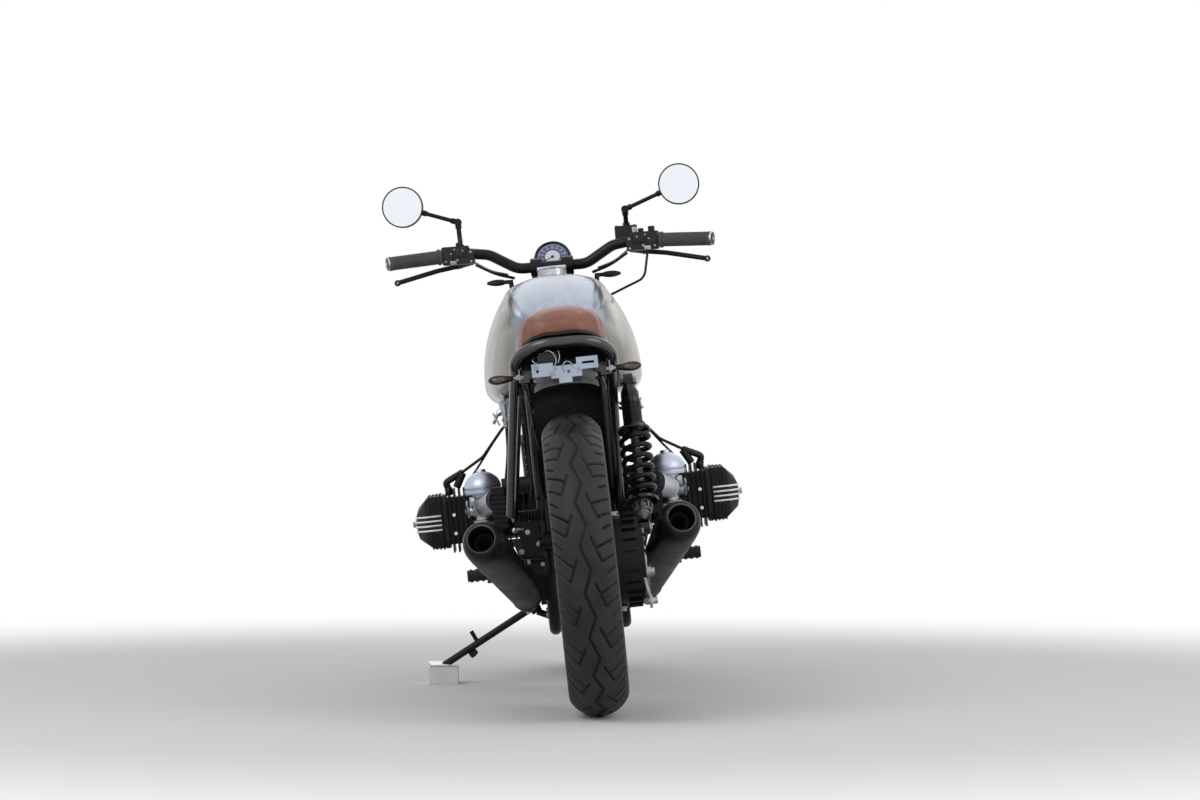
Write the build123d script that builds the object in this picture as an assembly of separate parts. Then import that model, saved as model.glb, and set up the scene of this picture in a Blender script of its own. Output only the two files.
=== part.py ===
from build123d import *
import math
import os

# Cafe racer motorcycle with a flat twin engine, in millimetres.
# It is drawn upright: X to the right, Y forward from the rear axle, Z up from the road.
# At the end it is leaned over onto its side stand and its origin goes to the middle of its footprint.

# Main sizes
WHEELBASE = 1480
REAR_RADIUS = 328
FRONT_RADIUS = 322
REAR_WIDTH = 130
FRONT_WIDTH = 104
RAKE = math.radians(28)
AXLE_OFFSET = 45
LEAN = 6.1
REST_STEER = 3.4

# Clearances
SEAT_GAP = 0.3
PIN_GAP = 0.1
RUNNING_GAP = 5.0

# Places that several pieces share
REAR_AXLE = (0, 0, REAR_RADIUS)
FRONT_AXLE = (0, WHEELBASE, FRONT_RADIUS)
AXIS_UP = Vector(0, -math.sin(RAKE), math.cos(RAKE))
AXIS_FORWARD = Vector(0, math.cos(RAKE), math.sin(RAKE))
# How far the front end stands from its usual place when the wheelbase changes.
FORE = WHEELBASE - 1480
AXIS_ORIGIN = Vector(*FRONT_AXLE) - AXIS_FORWARD * AXLE_OFFSET
PIVOT = (0, 445, 370)
SHOCK_TOP = (138, 200, 712)
SHOCK_FOOT = (138, 62, 392)
BLOCK_TOP = 40
STAND_PIVOT = (-128, 955, 200)
FOOT_PLATE = 5
TUBE = 14
RAIL = 13


# The lean: the rear tyre's round crown rolls over and lifts the bike a little.
CROWN = 71
LIFT = CROWN * (1 - math.cos(math.radians(LEAN)))


def level_height(x, height):
    # The height in the upright bike of a point that stands this high over the road when it leans.
    tilt = math.radians(LEAN)
    return (height - LIFT - x * math.sin(tilt)) / math.cos(tilt)


STAND_FOOT = (-358, 1000, level_height(-358, BLOCK_TOP + SEAT_GAP + FOOT_PLATE / 2))


def block(x0, x1, y0, y1, z0, z1):
    return Pos((x0 + x1) / 2, (y0 + y1) / 2, (z0 + z1) / 2) * Box(x1 - x0, y1 - y0, z1 - z0)


def rod(start, end, radius):
    a = Vector(*start)
    b = Vector(*end)
    low = (Align.CENTER, Align.CENTER, Align.MIN)
    return Plane(origin=a, z_dir=b - a).location * Cylinder(radius, (b - a).length, align=low)


def taper(start, end, radius0, radius1):
    a = Vector(*start)
    b = Vector(*end)
    low = (Align.CENTER, Align.CENTER, Align.MIN)
    return Plane(origin=a, z_dir=b - a).location * Cone(radius0, radius1, (b - a).length, align=low)


def pipe(points, radius, bend):
    path = FilletPolyline(*points, radius=bend)
    section = Plane(origin=path @ 0, z_dir=path % 0) * Circle(radius)
    return sweep(section, path=path)


def across(x0, x1, y, z, radius):
    return rod((x0, y, z), (x1, y, z), radius)


def across_plane(y):
    return Plane(origin=(0, y, 0), x_dir=(1, 0, 0), z_dir=(0, -1, 0))


def turned(points, centre):
    # A ring turned about the X axis through the centre, from (x, radius) points.
    face = make_face(Polyline(*points, close=True))
    return Pos(*centre) * revolve(Plane.XZ * face, Axis.X, 360)


def spindle(x0, x1, radius, y, z):
    # A pointed round body along X, like a small lamp.
    middle = (x0 + x1) / 2
    arc = ThreePointArc((x0, 6), (middle, radius), (x1, 3))
    ends = [Line((x1, 3), (x1, 0)), Line((x1, 0), (x0, 0)), Line((x0, 0), (x0, 6))]
    face = make_face(Curve() + [arc] + ends)
    return Pos(0, y, z) * revolve(Plane.XZ * face, Axis.X, 360)


def flip(point):
    return (-point[0], point[1], point[2])


def fork(x, forward, height):
    # A point by its place on the steering axis.
    p = AXIS_ORIGIN + AXIS_FORWARD * forward + AXIS_UP * height
    return (x, p.Y, p.Z)


def fork_plane(x, forward, height):
    return Plane(origin=fork(x, forward, height), x_dir=(1, 0, 0), z_dir=AXIS_UP).location


def joined(pieces):
    whole = pieces[0]
    for piece in pieces[1:]:
        whole = whole + piece
    return whole


steering = {}
wheel_front = {}
fixed = {}

# Wheels: a turned rim with ten cast spokes and a round hub.
WHEELS = [
    # name, centre, tyre radius, tyre width, rim half width, hub left, hub right, bore
    ("rear", REAR_AXLE, REAR_RADIUS, REAR_WIDTH, 47, -58, 56, 15),
    ("front", FRONT_AXLE, FRONT_RADIUS, FRONT_WIDTH, 38, -52, 52, 10),
]
RIM_SEAT = 227
SPOKES = 10


def tyre(centre, radius, width, rim):
    half = width / 2
    inner = rim - SEAT_GAP
    seat = RIM_SEAT + SEAT_GAP
    outline = [
        Line((-inner, seat), (inner, seat)),
        Line((inner, seat), (inner, seat + 15)),
        ThreePointArc((inner, seat + 15), (half, radius - 56), (half - 3, radius - 36)),
        ThreePointArc((half - 3, radius - 36), (0, radius), (3 - half, radius - 36)),
        ThreePointArc((3 - half, radius - 36), (-half, radius - 56), (-inner, seat + 15)),
        Line((-inner, seat + 15), (-inner, seat)),
    ]
    face = make_face(Curve() + outline)
    return Pos(*centre) * revolve(Plane.XZ * face, Axis.X, 360)


def wheel(centre, rim, left, right, bore):
    lip = rim + 5
    ring = turned(
        [
            (-rim, RIM_SEAT), (-rim, RIM_SEAT + 12), (-lip, RIM_SEAT + 12), (-lip, 214),
            (-22, 202), (22, 202), (lip, 214), (lip, RIM_SEAT + 12), (rim, RIM_SEAT + 12),
            (rim, RIM_SEAT),
        ],
        centre,
    )
    hub = across(left, right, centre[1], centre[2], 46)
    whole = ring + hub
    for i in range(SPOKES):
        spoke = Box(26, 20, 168, align=(Align.CENTER, Align.CENTER, Align.MIN))
        whole = whole + Pos(*centre) * Rot(360 / SPOKES * i, 0, 0) * Pos(0, 0, 38) * spoke
    return whole - across(left - 1, right + 1, centre[1], centre[2], bore + PIN_GAP)


for name, centre, radius, width, rim, left, right, bore in WHEELS:
    shapes = {
        name + "_tyre": tyre(centre, radius, width, rim),
        name + "_wheel": wheel(centre, rim, left, right, bore),
    }
    (fixed if name == "rear" else wheel_front).update(shapes)

DISC_X = (-64, -59)
disc = turned([(DISC_X[0], 70), (DISC_X[0], 142), (DISC_X[1], 142), (DISC_X[1], 70)], FRONT_AXLE)
carrier = turned([(-62, 11), (-62, 76), (-52.3, 60), (-52.3, 11)], FRONT_AXLE)
disc = disc + carrier
for i in range(12):
    disc = disc - Pos(*FRONT_AXLE) * Rot(30 * i, 0, 0) * Pos(-61, 0, 108) * Rot(0, 90, 0) * Cylinder(8, 30)
wheel_front["front_brake_disc"] = disc

# Frame: two cradle tubes under the engine, a backbone and the steering head.
HEAD_LOW = 488
HEAD_HIGH = 662
STEM = 14
PEG_PLATE = 8
head_tube = rod(fork(0, 0, HEAD_LOW), fork(0, 0, HEAD_HIGH), 30)
head_bore = rod(fork(0, 0, HEAD_LOW - 5), fork(0, 0, HEAD_HIGH + 5), STEM + PIN_GAP)
frame = head_tube
for side in (-1, 1):
    frame = frame + pipe(
        [
            (side * 20, FORE + 1172, 742), (side * 80, FORE + 1098, 520), (side * 80, FORE + 1092, 165),
            (side * 80, 520, 165), (side * 80, 462, 290), (side * 80, 462, 722),
            (side * 30, 640, 785),
        ],
        TUBE,
        55,
    )
    frame = frame + across(side * 63, side * 88, PIVOT[1] + 8, PIVOT[2], 22)
    frame = frame + rod((side * 80, 462, 432), (side * 150, 440, 432), 11)
    hanger = [(76, 296), (112, 296), (148, 414), (148, 436), (76, 446)]
    hanger = make_face(Polyline(*[(side * x, z) for x, z in hanger], close=True))
    frame = frame + Pos(0, 464, 0) * extrude(Plane.XZ * hanger, PEG_PLATE)
frame = frame + rod((0, FORE + 1140, 790), (0, 620, 790), 21)
frame = frame + across(-80, 80, 462, 700, 12) + across(-80, 80, 600, 165, 11)
CASE_BOTTOM = 214
for y in (770, 960):
    for x in (-80, 80):
        frame = frame + block(x - 12, x + 12, y - 20, y + 20, 165, CASE_BOTTOM - SEAT_GAP)
TUNNEL = 32
for y in (720, 960):
    frame = frame + rod((0, y - 15, 790), (0, y + 15, 790), TUNNEL - SEAT_GAP)

# Side stand hinge: a pin square to the leg, tipped so that the foot rises as it swings back.
leg_way = (Vector(*STAND_FOOT) - Vector(*STAND_PIVOT)).normalized()
FOLDED_WAY = Vector(-0.1, -0.99, -0.05).normalized()
STAND_AXIS = leg_way.cross(FOLDED_WAY).normalized()
PIN = 6
BOSS = 9


def on_stand_axis(distance):
    p = Vector(*STAND_PIVOT) + STAND_AXIS * distance
    return (p.X, p.Y, p.Z)


stand_lug = rod(on_stand_axis(-BOSS - SEAT_GAP - 6), on_stand_axis(-BOSS - SEAT_GAP), 13)
stand_lug = stand_lug + rod(on_stand_axis(-BOSS - 6), on_stand_axis(BOSS + 6), PIN)
stand_lug = stand_lug + rod(on_stand_axis(BOSS + SEAT_GAP), on_stand_axis(BOSS + 6), 9)
stand_lug = stand_lug + rod(on_stand_axis(-BOSS - 5), (-80, STAND_PIVOT[1], 168), 8)
frame = frame + stand_lug
frame = frame - head_bore

# Rear subframe: two rails with a kicked-up hoop, and a strut on each side.
HOOP = [(105, 400, 745), (105, 40, 745), (105, -72, 808), (-105, -72, 808), (-105, 40, 745), (-105, 400, 745)]
rails = pipe(HOOP, RAIL, 85)
rails = rails + rod((105, 400, 745), (72, 496, 738), RAIL) + rod((-105, 400, 745), (-72, 496, 738), RAIL)
rails = rails + Pos(105, 400, 745) * Sphere(RAIL) + Pos(-105, 400, 745) * Sphere(RAIL)
STRUTS = [
    # top, foot, radius
    ((-106, 92, 743), (-150, 432, 440), 14),
    ((101, 92, 744), (95, 446, 446), 12),
]
for top, foot, radius in STRUTS:
    rails = rails + rod(top, foot, radius)
for y0, y1 in ((20, 44), (250, 274)):
    rails = rails + block(-100, 100, y0, y1, 730, 750)
rails = rails + across(105, 154, SHOCK_TOP[1], SHOCK_TOP[2], 8)
rails = rails + block(98, 120, 182, 218, 700, 745)
GUARD_RADIUS = 410
rails = rails - across(-77, 77, 0, REAR_RADIUS, GUARD_RADIUS)
fixed["frame"] = frame
fixed["rear_subframe"] = rails - frame

# Rear mudguard: a shallow channel about the rear axle.
guard = turned(
    [(-76, 394), (-76, 410), (76, 410), (76, 394), (73, 394), (73, 406), (-73, 406), (-73, 394)],
    REAR_AXLE,
)
guard = guard & (
    Pos(0, 0, REAR_RADIUS)
    * extrude(
        Plane.YZ * make_face(Polyline((0, 0), (700, 410), (0, 900), (-138, 550), close=True)),
        100,
        both=True,
    )
)
fixed["rear_mudguard"] = guard

# Engine block with its sump, the front cover and the gearbox.
CYLINDERS = [
    # side, name, place along the engine
    (-1, "left", 935),
    (1, "right", 895),
]
CYLINDER_Z = 427
case = extrude(
    Plane.YZ
    * make_face(
        Polyline(
            (702, CASE_BOTTOM), (702, 560), (752, 640), (930, 640), (1000, 600), (1034, 560), (1034, 230),
            (1018, CASE_BOTTOM),
            close=True,
        )
    ),
    108,
    both=True,
)
case = fillet(case.edges().filter_by(Axis.X), 14)
sump = block(-62, 62, 730, 1010, 186, 220)
fixed["engine_block"] = case + sump
cover = block(-92, 92, 1033, 1062, 250, 590)
cover = fillet(cover.edges().filter_by(Axis.Y), 40)
fixed["engine_front_cover"] = cover
gearbox = extrude(
    Plane.YZ
    * make_face(
        Polyline((701.7, 240), (701.7, 470), (600, 470), (498, 430), (498, 300), (560, 240), close=True)
    ),
    86,
    both=True,
)
fixed["gearbox"] = fillet(gearbox.edges().filter_by(Axis.X), 12)
airbox = block(-92, 92, 516, 701.7, 476, 650)
airbox = fillet(airbox.edges().filter_by(Axis.X), 24)
fixed["air_box"] = airbox
fixed["battery_box"] = block(-64, 64, 366, 450, 470, 722)

# Cylinders, heads and valve covers: the same pieces on both sides, the left one further forward.
BARREL = (108, 236)
HEAD = (236, 318)
COVER = (318, 383)
FIN = 3
COVER_FINS = (15, 4, -7, -18)


def plate(x0, x1, y, height, length, corner):
    body = block(x0, x1, y - length / 2, y + length / 2, CYLINDER_Z - height / 2, CYLINDER_Z + height / 2)
    return fillet(body.edges().filter_by(Axis.X), corner)


def mirrored(shape, side):
    return shape if side > 0 else mirror(shape, Plane.YZ)


for side, name, y in CYLINDERS:
    barrel = across(BARREL[0] + SEAT_GAP, BARREL[1] - SEAT_GAP, y, CYLINDER_Z, 58)
    for along in (-26, 26):
        barrel = barrel + across(BARREL[0] + SEAT_GAP, BARREL[1] - SEAT_GAP, y + along, CYLINDER_Z - 70, 9)
    for i in range(8):
        x = BARREL[0] + 14 + 14 * i
        barrel = barrel + plate(x, x + FIN, y, 146, 150, 40)
    head = plate(HEAD[0], HEAD[1] - 10, y, 112, 120, 10)
    head = head + plate(HEAD[1] - 10, HEAD[1] - SEAT_GAP, y, 128, 172, 22)
    for i in range(6):
        x = HEAD[0] + 3 + 12 * i
        head = head + plate(x, x + FIN, y, 152, 164, 16)
    top = extrude(
        Plane.XZ
        * make_face(
            Polyline(
                (COVER[0], CYLINDER_Z - 62), (COVER[0] + 30, CYLINDER_Z - 62),
                (COVER[1] - 4, CYLINDER_Z - 36), (COVER[1], CYLINDER_Z - 20),
                (COVER[1], CYLINDER_Z + 18), (COVER[1] - 8, CYLINDER_Z + 38),
                (COVER[0] + 34, CYLINDER_Z + 62), (COVER[0], CYLINDER_Z + 62),
                close=True,
            )
        ),
        84,
        both=True,
    )
    top = Pos(0, y, 0) * top
    plan = extrude(
        make_face(
            Polyline(
                (COVER[0], -84), (COVER[0] + 42, -84), (COVER[1], -52), (COVER[1], 52),
                (COVER[0] + 42, 84), (COVER[0], 84),
                close=True,
            )
        ),
        900,
    )
    top = top & (Pos(0, y, 0) * plan)
    fins = None
    for z in COVER_FINS:
        ridge = make_face(
            Polyline(
                (COVER[0] + 6, -87), (COVER[0] + 43, -87), (COVER[1] + 3, -54), (COVER[1] + 3, 54),
                (COVER[0] + 43, 87), (COVER[0] + 6, 87),
                close=True,
            )
        )
        ridge = Pos(0, y, CYLINDER_Z + z - 2) * extrude(ridge, 4)
        fins = ridge if fins is None else fins + ridge
    fins = fins - top
    fixed["cylinder_" + name] = mirrored(barrel, side)
    fixed["head_" + name] = mirrored(head, side)
    fixed["valve_cover_" + name] = mirrored(top, side)
    fixed["cover_fins_" + name] = mirrored(fins, side)

    # Carburettor: a round dome over an upright body, with a stub into the head and a hose behind.
    cy = y - 132
    carb = rod((217, cy, 420), (217, cy, 486), 27) + rod((217, cy, 486), (217, cy, 504), 44)
    carb = carb + taper((217, cy, 504), (217, cy, 532), 42, 24) + rod((217, cy, 532), (217, cy, 543), 9)
    carb = carb + rod((217, cy - 42, 455), (217, cy + 30, 455), 23)
    carb = carb + rod((217, cy + 28, 455), (250, y - 58, 450), 19)
    carb = carb - fixed["head_right"] if side > 0 else carb - mirrored(fixed["head_left"], -1)
    carb = carb - (fixed["cylinder_right"] if side > 0 else mirrored(fixed["cylinder_left"], -1))
    fixed["carburettor_" + name] = mirrored(carb, side)
    hose = block(167, 195, 640, 702, 402, 499)
    for i in range(8):
        hose = hose + block(164, 198, 637, 705, 407 + 11 * i, 413 + 11 * i)
    hose = hose + rod((180, 690, 470), (217, cy - 42 - SEAT_GAP, 455), 25) + across(92.3, 170, 665, 500, 18)
    hose = hose - carb
    fixed["intake_hose_" + name] = mirrored(hose, side)

    # Exhaust: a header round under the cylinder and a silencer with a turned-in end.
    header = pipe(
        [
            (266, y + 60, 400), (266, y + 122, 400), (234, y + 106, 296), (172, y - 80, 260),
            (133, 445, 243),
        ],
        19,
        38,
    )
    header = header - mirrored(fixed["head_" + name], side)
    fixed["header_" + name] = mirrored(header, side)

MUFFLER_FRONT = (133, 440, 243)
MUFFLER_BACK = (217, -20, 407)
for side, name in ((-1, "left"), (1, "right")):
    a = Vector(*MUFFLER_FRONT)
    b = Vector(*MUFFLER_BACK)
    along = (b - a).normalized()
    length = (b - a).length
    outline = Polyline((0, 20), (0, 27), (30, 33), (length - 80, 48), (length - 42, 48), (length, 32),
                       (length, 29), (length - 90, 29), (length - 90, 0), (60, 0), (60, 20), close=True)
    can = revolve(Plane.XZ * make_face(Plane.XY * outline), Axis.X, 360)
    place = Plane(origin=a, x_dir=along, z_dir=Vector(0, 0, 1) - along * along.Z).location
    can = place * can
    can = can - mirrored(fixed["header_" + name], side)
    fixed["muffler_" + name] = mirrored(can, side)

# Swingarm on the right only, with the final drive at its end.
swingarm = across(-62, 62, PIVOT[1], PIVOT[2], 22)
swingarm = swingarm + pipe([(20, 420, 369), (104, 372, 363), (104, 60, 331)], 28, 40)
swingarm = swingarm - across(-64, 64, PIVOT[1], PIVOT[2], 10)
DRIVE = (62, 120)
drive = across(DRIVE[0], DRIVE[1], 0, REAR_RADIUS, 96) + across(DRIVE[1], DRIVE[1] + 8, 0, REAR_RADIUS, 74)
for i in range(24):
    rib = Box(30, 6, 12)
    drive = drive + Pos(100, 0, REAR_RADIUS) * Rot(15 * i, 0, 0) * Pos(0, 0, 97) * rib
drive = drive + across(-66, DRIVE[0], 0, REAR_RADIUS, 15) + across(-70, -60, 0, REAR_RADIUS, 20)
drive = drive + across(DRIVE[1], 150, SHOCK_FOOT[1], SHOCK_FOOT[2], 8)
drive = drive + across(DRIVE[1] - 8, DRIVE[1] + 7, SHOCK_FOOT[1], SHOCK_FOOT[2], 15)
fixed["final_drive"] = drive
fixed["swingarm"] = swingarm - drive - frame
fixed["frame"] = (frame - fixed["swingarm"]) + across(-96, 96, PIVOT[1], PIVOT[2], 9.7)

# Shock absorber with its coil spring.
top = Vector(*SHOCK_TOP)
foot = Vector(*SHOCK_FOOT)
up = (top - foot).normalized()


def on_shock(distance):
    p = foot + up * distance
    return (p.X, p.Y, p.Z)


SHOCK_LENGTH = (top - foot).length
shock = across(foot.X - 10, foot.X + 10, foot.Y, foot.Z, 17)
shock = shock + across(top.X - 10, top.X + 10, top.Y, top.Z, 17)
shock = shock + rod(on_shock(14), on_shock(70), 12) + rod(on_shock(58), on_shock(66), 36)
shock = shock + rod(on_shock(66), on_shock(SHOCK_LENGTH - 60), 10)
shock = shock + rod(on_shock(SHOCK_LENGTH - 118), on_shock(SHOCK_LENGTH - 12), 20)
shock = shock + rod(on_shock(SHOCK_LENGTH - 124), on_shock(SHOCK_LENGTH - 116), 36)
shock = shock - across(100, 175, foot.Y, foot.Z, 8 + SEAT_GAP) - across(100, 175, top.Y, top.Z, 8 + SEAT_GAP)
fixed["shock"] = shock - rails
SPRING_LOW = 66 + SEAT_GAP
SPRING_HIGH = SHOCK_LENGTH - 124 - SEAT_GAP
COILS = 6
WIRE = 5.8
SPRING_RADIUS = 30
spring_path = Helix(
    pitch=(SPRING_HIGH - SPRING_LOW - 2 * WIRE) / COILS,
    height=SPRING_HIGH - SPRING_LOW - 2 * WIRE,
    radius=SPRING_RADIUS,
)
spring = sweep(Plane(origin=spring_path @ 0, z_dir=spring_path % 0) * Circle(WIRE), path=spring_path)
base = Plane(origin=on_shock(SPRING_LOW + WIRE), z_dir=up).location
fixed["shock_spring"] = base * spring

# Rear brake lever and rod on the final drive.
lever = across(DRIVE[1] + SEAT_GAP, DRIVE[1] + 14, -48, 300, 10) + block(128, 134, -56, -40, 236, 300)
lever = lever + rod((124, -60, 238), (94, 430, 208), 4) + across(118, 140, -48, 238, 7)
lever = lever + rod((124, -80, 239), (124, -56, 238), 8)
fixed["brake_linkage"] = lever - fixed["final_drive"]

# Foot pegs and pedals.
for side, name in ((-1, "left"), (1, "right")):
    peg = rod((92, 474, 305), (186, 498, 308), 9) + across(186, 267, 498, 308, 13)
    for i in range(6):
        peg = peg + across(190 + 13 * i, 196 + 13 * i, 498, 308, 15)
    pedal = pipe([(118, 481, 303), (140, 510, 284), (196, 550, 284), (196, 660, 290)], 6, 14)
    pedal = pedal + across(186, 226, 660, 290, 10)
    pedal = pedal - peg
    fixed["foot_peg_" + name] = mirrored(peg, side) - fixed["frame"]
    fixed["pedal_" + name] = mirrored(pedal, side)

# Fuel tank: rounded sections set along the bike, hollowed under for the backbone.
TANK_SECTIONS = [
    # along, width scale, bottom, top
    (508, 0.50, 742, 872),
    (600, 0.80, 706, 912),
    (800, 1.00, 690, 968),
    (960, 1.00, 690, 985),
    (1046, 0.88, 712, 968),
]


def tank_section(y, wide, bottom, top):
    def at(x, z):
        return (x * wide, bottom + (z - 690) / 295 * (top - bottom))

    edges = [Line(at(-132, 690), at(132, 690))]
    edges.append(ThreePointArc(at(132, 690), at(171, 704), at(183, 742)))
    edges.append(ThreePointArc(at(183, 742), at(166, 850), at(122, 938)))
    edges.append(ThreePointArc(at(122, 938), at(107, 958), at(82, 971)))
    edges.append(ThreePointArc(at(82, 971), at(0, 985), at(-82, 971)))
    edges.append(ThreePointArc(at(-82, 971), at(-107, 958), at(-122, 938)))
    edges.append(ThreePointArc(at(-122, 938), at(-166, 850), at(-183, 742)))
    edges.append(ThreePointArc(at(-183, 742), at(-171, 704), at(-132, 690)))
    return across_plane(y) * make_face(Curve() + edges)


tank = loft([tank_section(*row) for row in TANK_SECTIONS])
tank = tank - block(-56, 56, 480, 1100, 600, 790) - rod((0, 1100, 790), (0, 480, 790), TUNNEL)
tank = tank - block(-98, 98, 480, 665, 600, 815)
TAP_X = 144
CAP = (0, 1000)
CAP_RADIUS = 36
cap = rod((*CAP, 940), (*CAP, 1004), CAP_RADIUS - 4) + rod((*CAP, 986), (*CAP, 1008), CAP_RADIUS)
cap = cap - rod((*CAP, 900), (*CAP, 960), 60)
fixed["fuel_tank"] = tank
fixed["fuel_cap"] = cap - tank
for side, name in ((-1, "left"), (1, "right")):
    tap = rod((TAP_X, 640, 725), (TAP_X, 640, 676), 9) + rod((TAP_X, 640, 690), (TAP_X, 640, 664), 12)
    tap = tap + rod((TAP_X, 640, 666), (TAP_X, 640, 636), 7)
    tap = tap + rod((TAP_X + 8, 640, 672), (TAP_X + 17, 638, 670), 6)
    tap = tap + rod((TAP_X + 13, 639, 676), (TAP_X + 30, 637, 646), 4)
    fixed["fuel_tap_" + name] = mirrored(tap, side) - tank

# Seat: a leather pad on a thin pan, rising over the hoop.
SEAT_SECTIONS = [
    # along, half width, bottom, shoulder, top
    (500, 82, 764, 812, 842),
    (380, 92, 764, 812, 842),
    (260, 100, 764, 815, 848),
    (140, 101, 764, 826, 864),
    (48, 100, 764, 842, 880),
    (0, 96, 791, 848, 884),
    (-36, 84, 811, 850, 878),
    (-60, 62, 824.5, 846, 864),
    (-72, 36, 831, 840, 850),
]


def seat_section(y, half, bottom, shoulder, top):
    drop = top - shoulder
    edges = [
        Line((-half, bottom), (half, bottom)),
        Line((half, bottom), (half, shoulder)),
        ThreePointArc((half, shoulder), (half * 0.87, top - drop * 0.34), (half * 0.6, top - drop * 0.1)),
        ThreePointArc((half * 0.6, top - drop * 0.1), (0, top), (-half * 0.6, top - drop * 0.1)),
        ThreePointArc((-half * 0.6, top - drop * 0.1), (-half * 0.87, top - drop * 0.34), (-half, shoulder)),
        Line((-half, shoulder), (-half, bottom)),
    ]
    return across_plane(y) * make_face(Curve() + edges)


def pan_section(y, half, bottom, shoulder, top):
    half = half + 2
    outline = [(-half, bottom - 6), (half, bottom - 6), (half, bottom - SEAT_GAP), (-half, bottom - SEAT_GAP)]
    return across_plane(y) * make_face(Polyline(*outline, close=True))


seat = loft([seat_section(*row) for row in SEAT_SECTIONS], ruled=True)
pan = loft([pan_section(*row) for row in SEAT_SECTIONS], ruled=True)
fixed["seat_pan"] = pan - rails - tank
fixed["seat"] = seat - rails - tank

# Light bracket behind the mudguard, and the rear indicators.
BRACKET_Y = -112
bracket = block(-70, -24, BRACKET_Y, BRACKET_Y + 3, 738, 766)
bracket = bracket + block(-30, 36, BRACKET_Y - 3, BRACKET_Y, 732, 758)
bracket = bracket + block(26, 72, BRACKET_Y, BRACKET_Y + 3, 746, 772)
bracket = bracket + block(-14, 14, BRACKET_Y - 3, BRACKET_Y, 719, 734)
bracket = bracket - block(38, 64, BRACKET_Y - 5, BRACKET_Y + 5, 757, 762)
LIGHT_HOLES = [(-58, 750), (8, 744)]
for x, z in LIGHT_HOLES:
    bracket = bracket - rod((x, BRACKET_Y - 10, z), (x, BRACKET_Y + 10, z), 3.2)
strip = turned([(-14, 410.2), (-14, 414), (14, 414), (14, 410.2)], REAR_AXLE)
bracket = bracket + (strip & block(-20, 20, BRACKET_Y - 3, -60, 700, 745))
fixed["light_bracket"] = bracket - guard
for side, name in ((-1, "left"), (1, "right")):
    stalk = across(96, 108, 0, 742, 5) + block(98, 107, -7, 7, 736, 762)
    lamp = spindle(105, 167, 10.5, 0, 742)
    fixed["rear_indicator_" + name] = mirrored(stalk + lamp, side) - fixed["rear_subframe"]

# Spark leads, held along their route from the coil to the plug caps.
coil = block(-50, 50, 800, 860, 716, 768)
leads = coil
for side, name, y in CYLINDERS:
    lead = pipe(
        [(44, 830, 735), (70, 825, 676), (150, 815, 640), (210, y - 66, 570), (268, y - 42, 536)],
        3.5,
        40,
    )
    lead = lead + rod((262, y - 42, 537), (280, y - 36, 505), 9)
    lead = lead - mirrored(fixed["head_" + name], side) - mirrored(fixed["cylinder_" + name], side)
    leads = leads + mirrored(lead, side)
fixed["spark_leads"] = leads - fixed["frame"] - tank

# Side stand on the left cradle tube, its foot plate resting on a block.
def on_leg(distance):
    p = Vector(*STAND_PIVOT) + leg_way * distance
    return (p.X, p.Y, p.Z)


LEG_LENGTH = (Vector(*STAND_FOOT) - Vector(*STAND_PIVOT)).length
stand = rod(on_leg(12), on_leg(LEG_LENGTH), 8.5) + rod(on_stand_axis(-BOSS), on_stand_axis(BOSS), 14)
stand = stand - rod(on_stand_axis(-BOSS - 1), on_stand_axis(BOSS + 1), PIN + PIN_GAP)
under = Pos(*STAND_FOOT) * Rot(0, LEAN, 0) * Pos(0, 0, -50 - FOOT_PLATE / 2) * Box(300, 300, 100)
foot_plate = Pos(*STAND_FOOT) * Rot(0, LEAN, 0) * Pos(-8, 0, 0) * Box(46, 40, FOOT_PLATE)
tang_root = on_leg(LEG_LENGTH * 0.62)
tang = rod(tang_root, (tang_root[0] - 14, tang_root[1], tang_root[2] + 30), 5)
rest_root = on_leg(LEG_LENGTH * 0.72)
rest = rod(rest_root, (rest_root[0] + 12, rest_root[1] + 4, rest_root[2] - 16), 9)
fixed["side_stand"] = (stand + tang + rest - under) + foot_plate

# Fork legs, yokes and stem.
LEG_X = 100
legs = None
for side in (-1, 1):
    x = side * LEG_X
    leg = rod(fork(x, AXLE_OFFSET, -28), fork(x, AXLE_OFFSET, 300), 25)
    leg = leg + rod(fork(x, AXLE_OFFSET, 300), fork(x, AXLE_OFFSET, 698), 18)
    leg = leg + rod(fork(x, AXLE_OFFSET, 296), fork(x, AXLE_OFFSET, 312), 27)
    legs = leg if legs is None else legs + leg
axle = across(-122, 122, WHEELBASE, FRONT_RADIUS, 10)
legs = legs - axle
steering["fork_legs"] = legs
steering["front_axle"] = axle


def yoke(height, thick):
    rounds = [Circle(32).edge()]
    rounds += [(Pos(x, AXLE_OFFSET) * Circle(30)).edge() for x in (-LEG_X, LEG_X)]
    return fork_plane(0, 0, height) * extrude(make_hull(rounds), thick)


yokes = yoke(452, 34) + yoke(664, 24) + rod(fork(0, 0, 460), fork(0, 0, 680), STEM)
steering["yokes"] = yokes - legs

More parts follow.
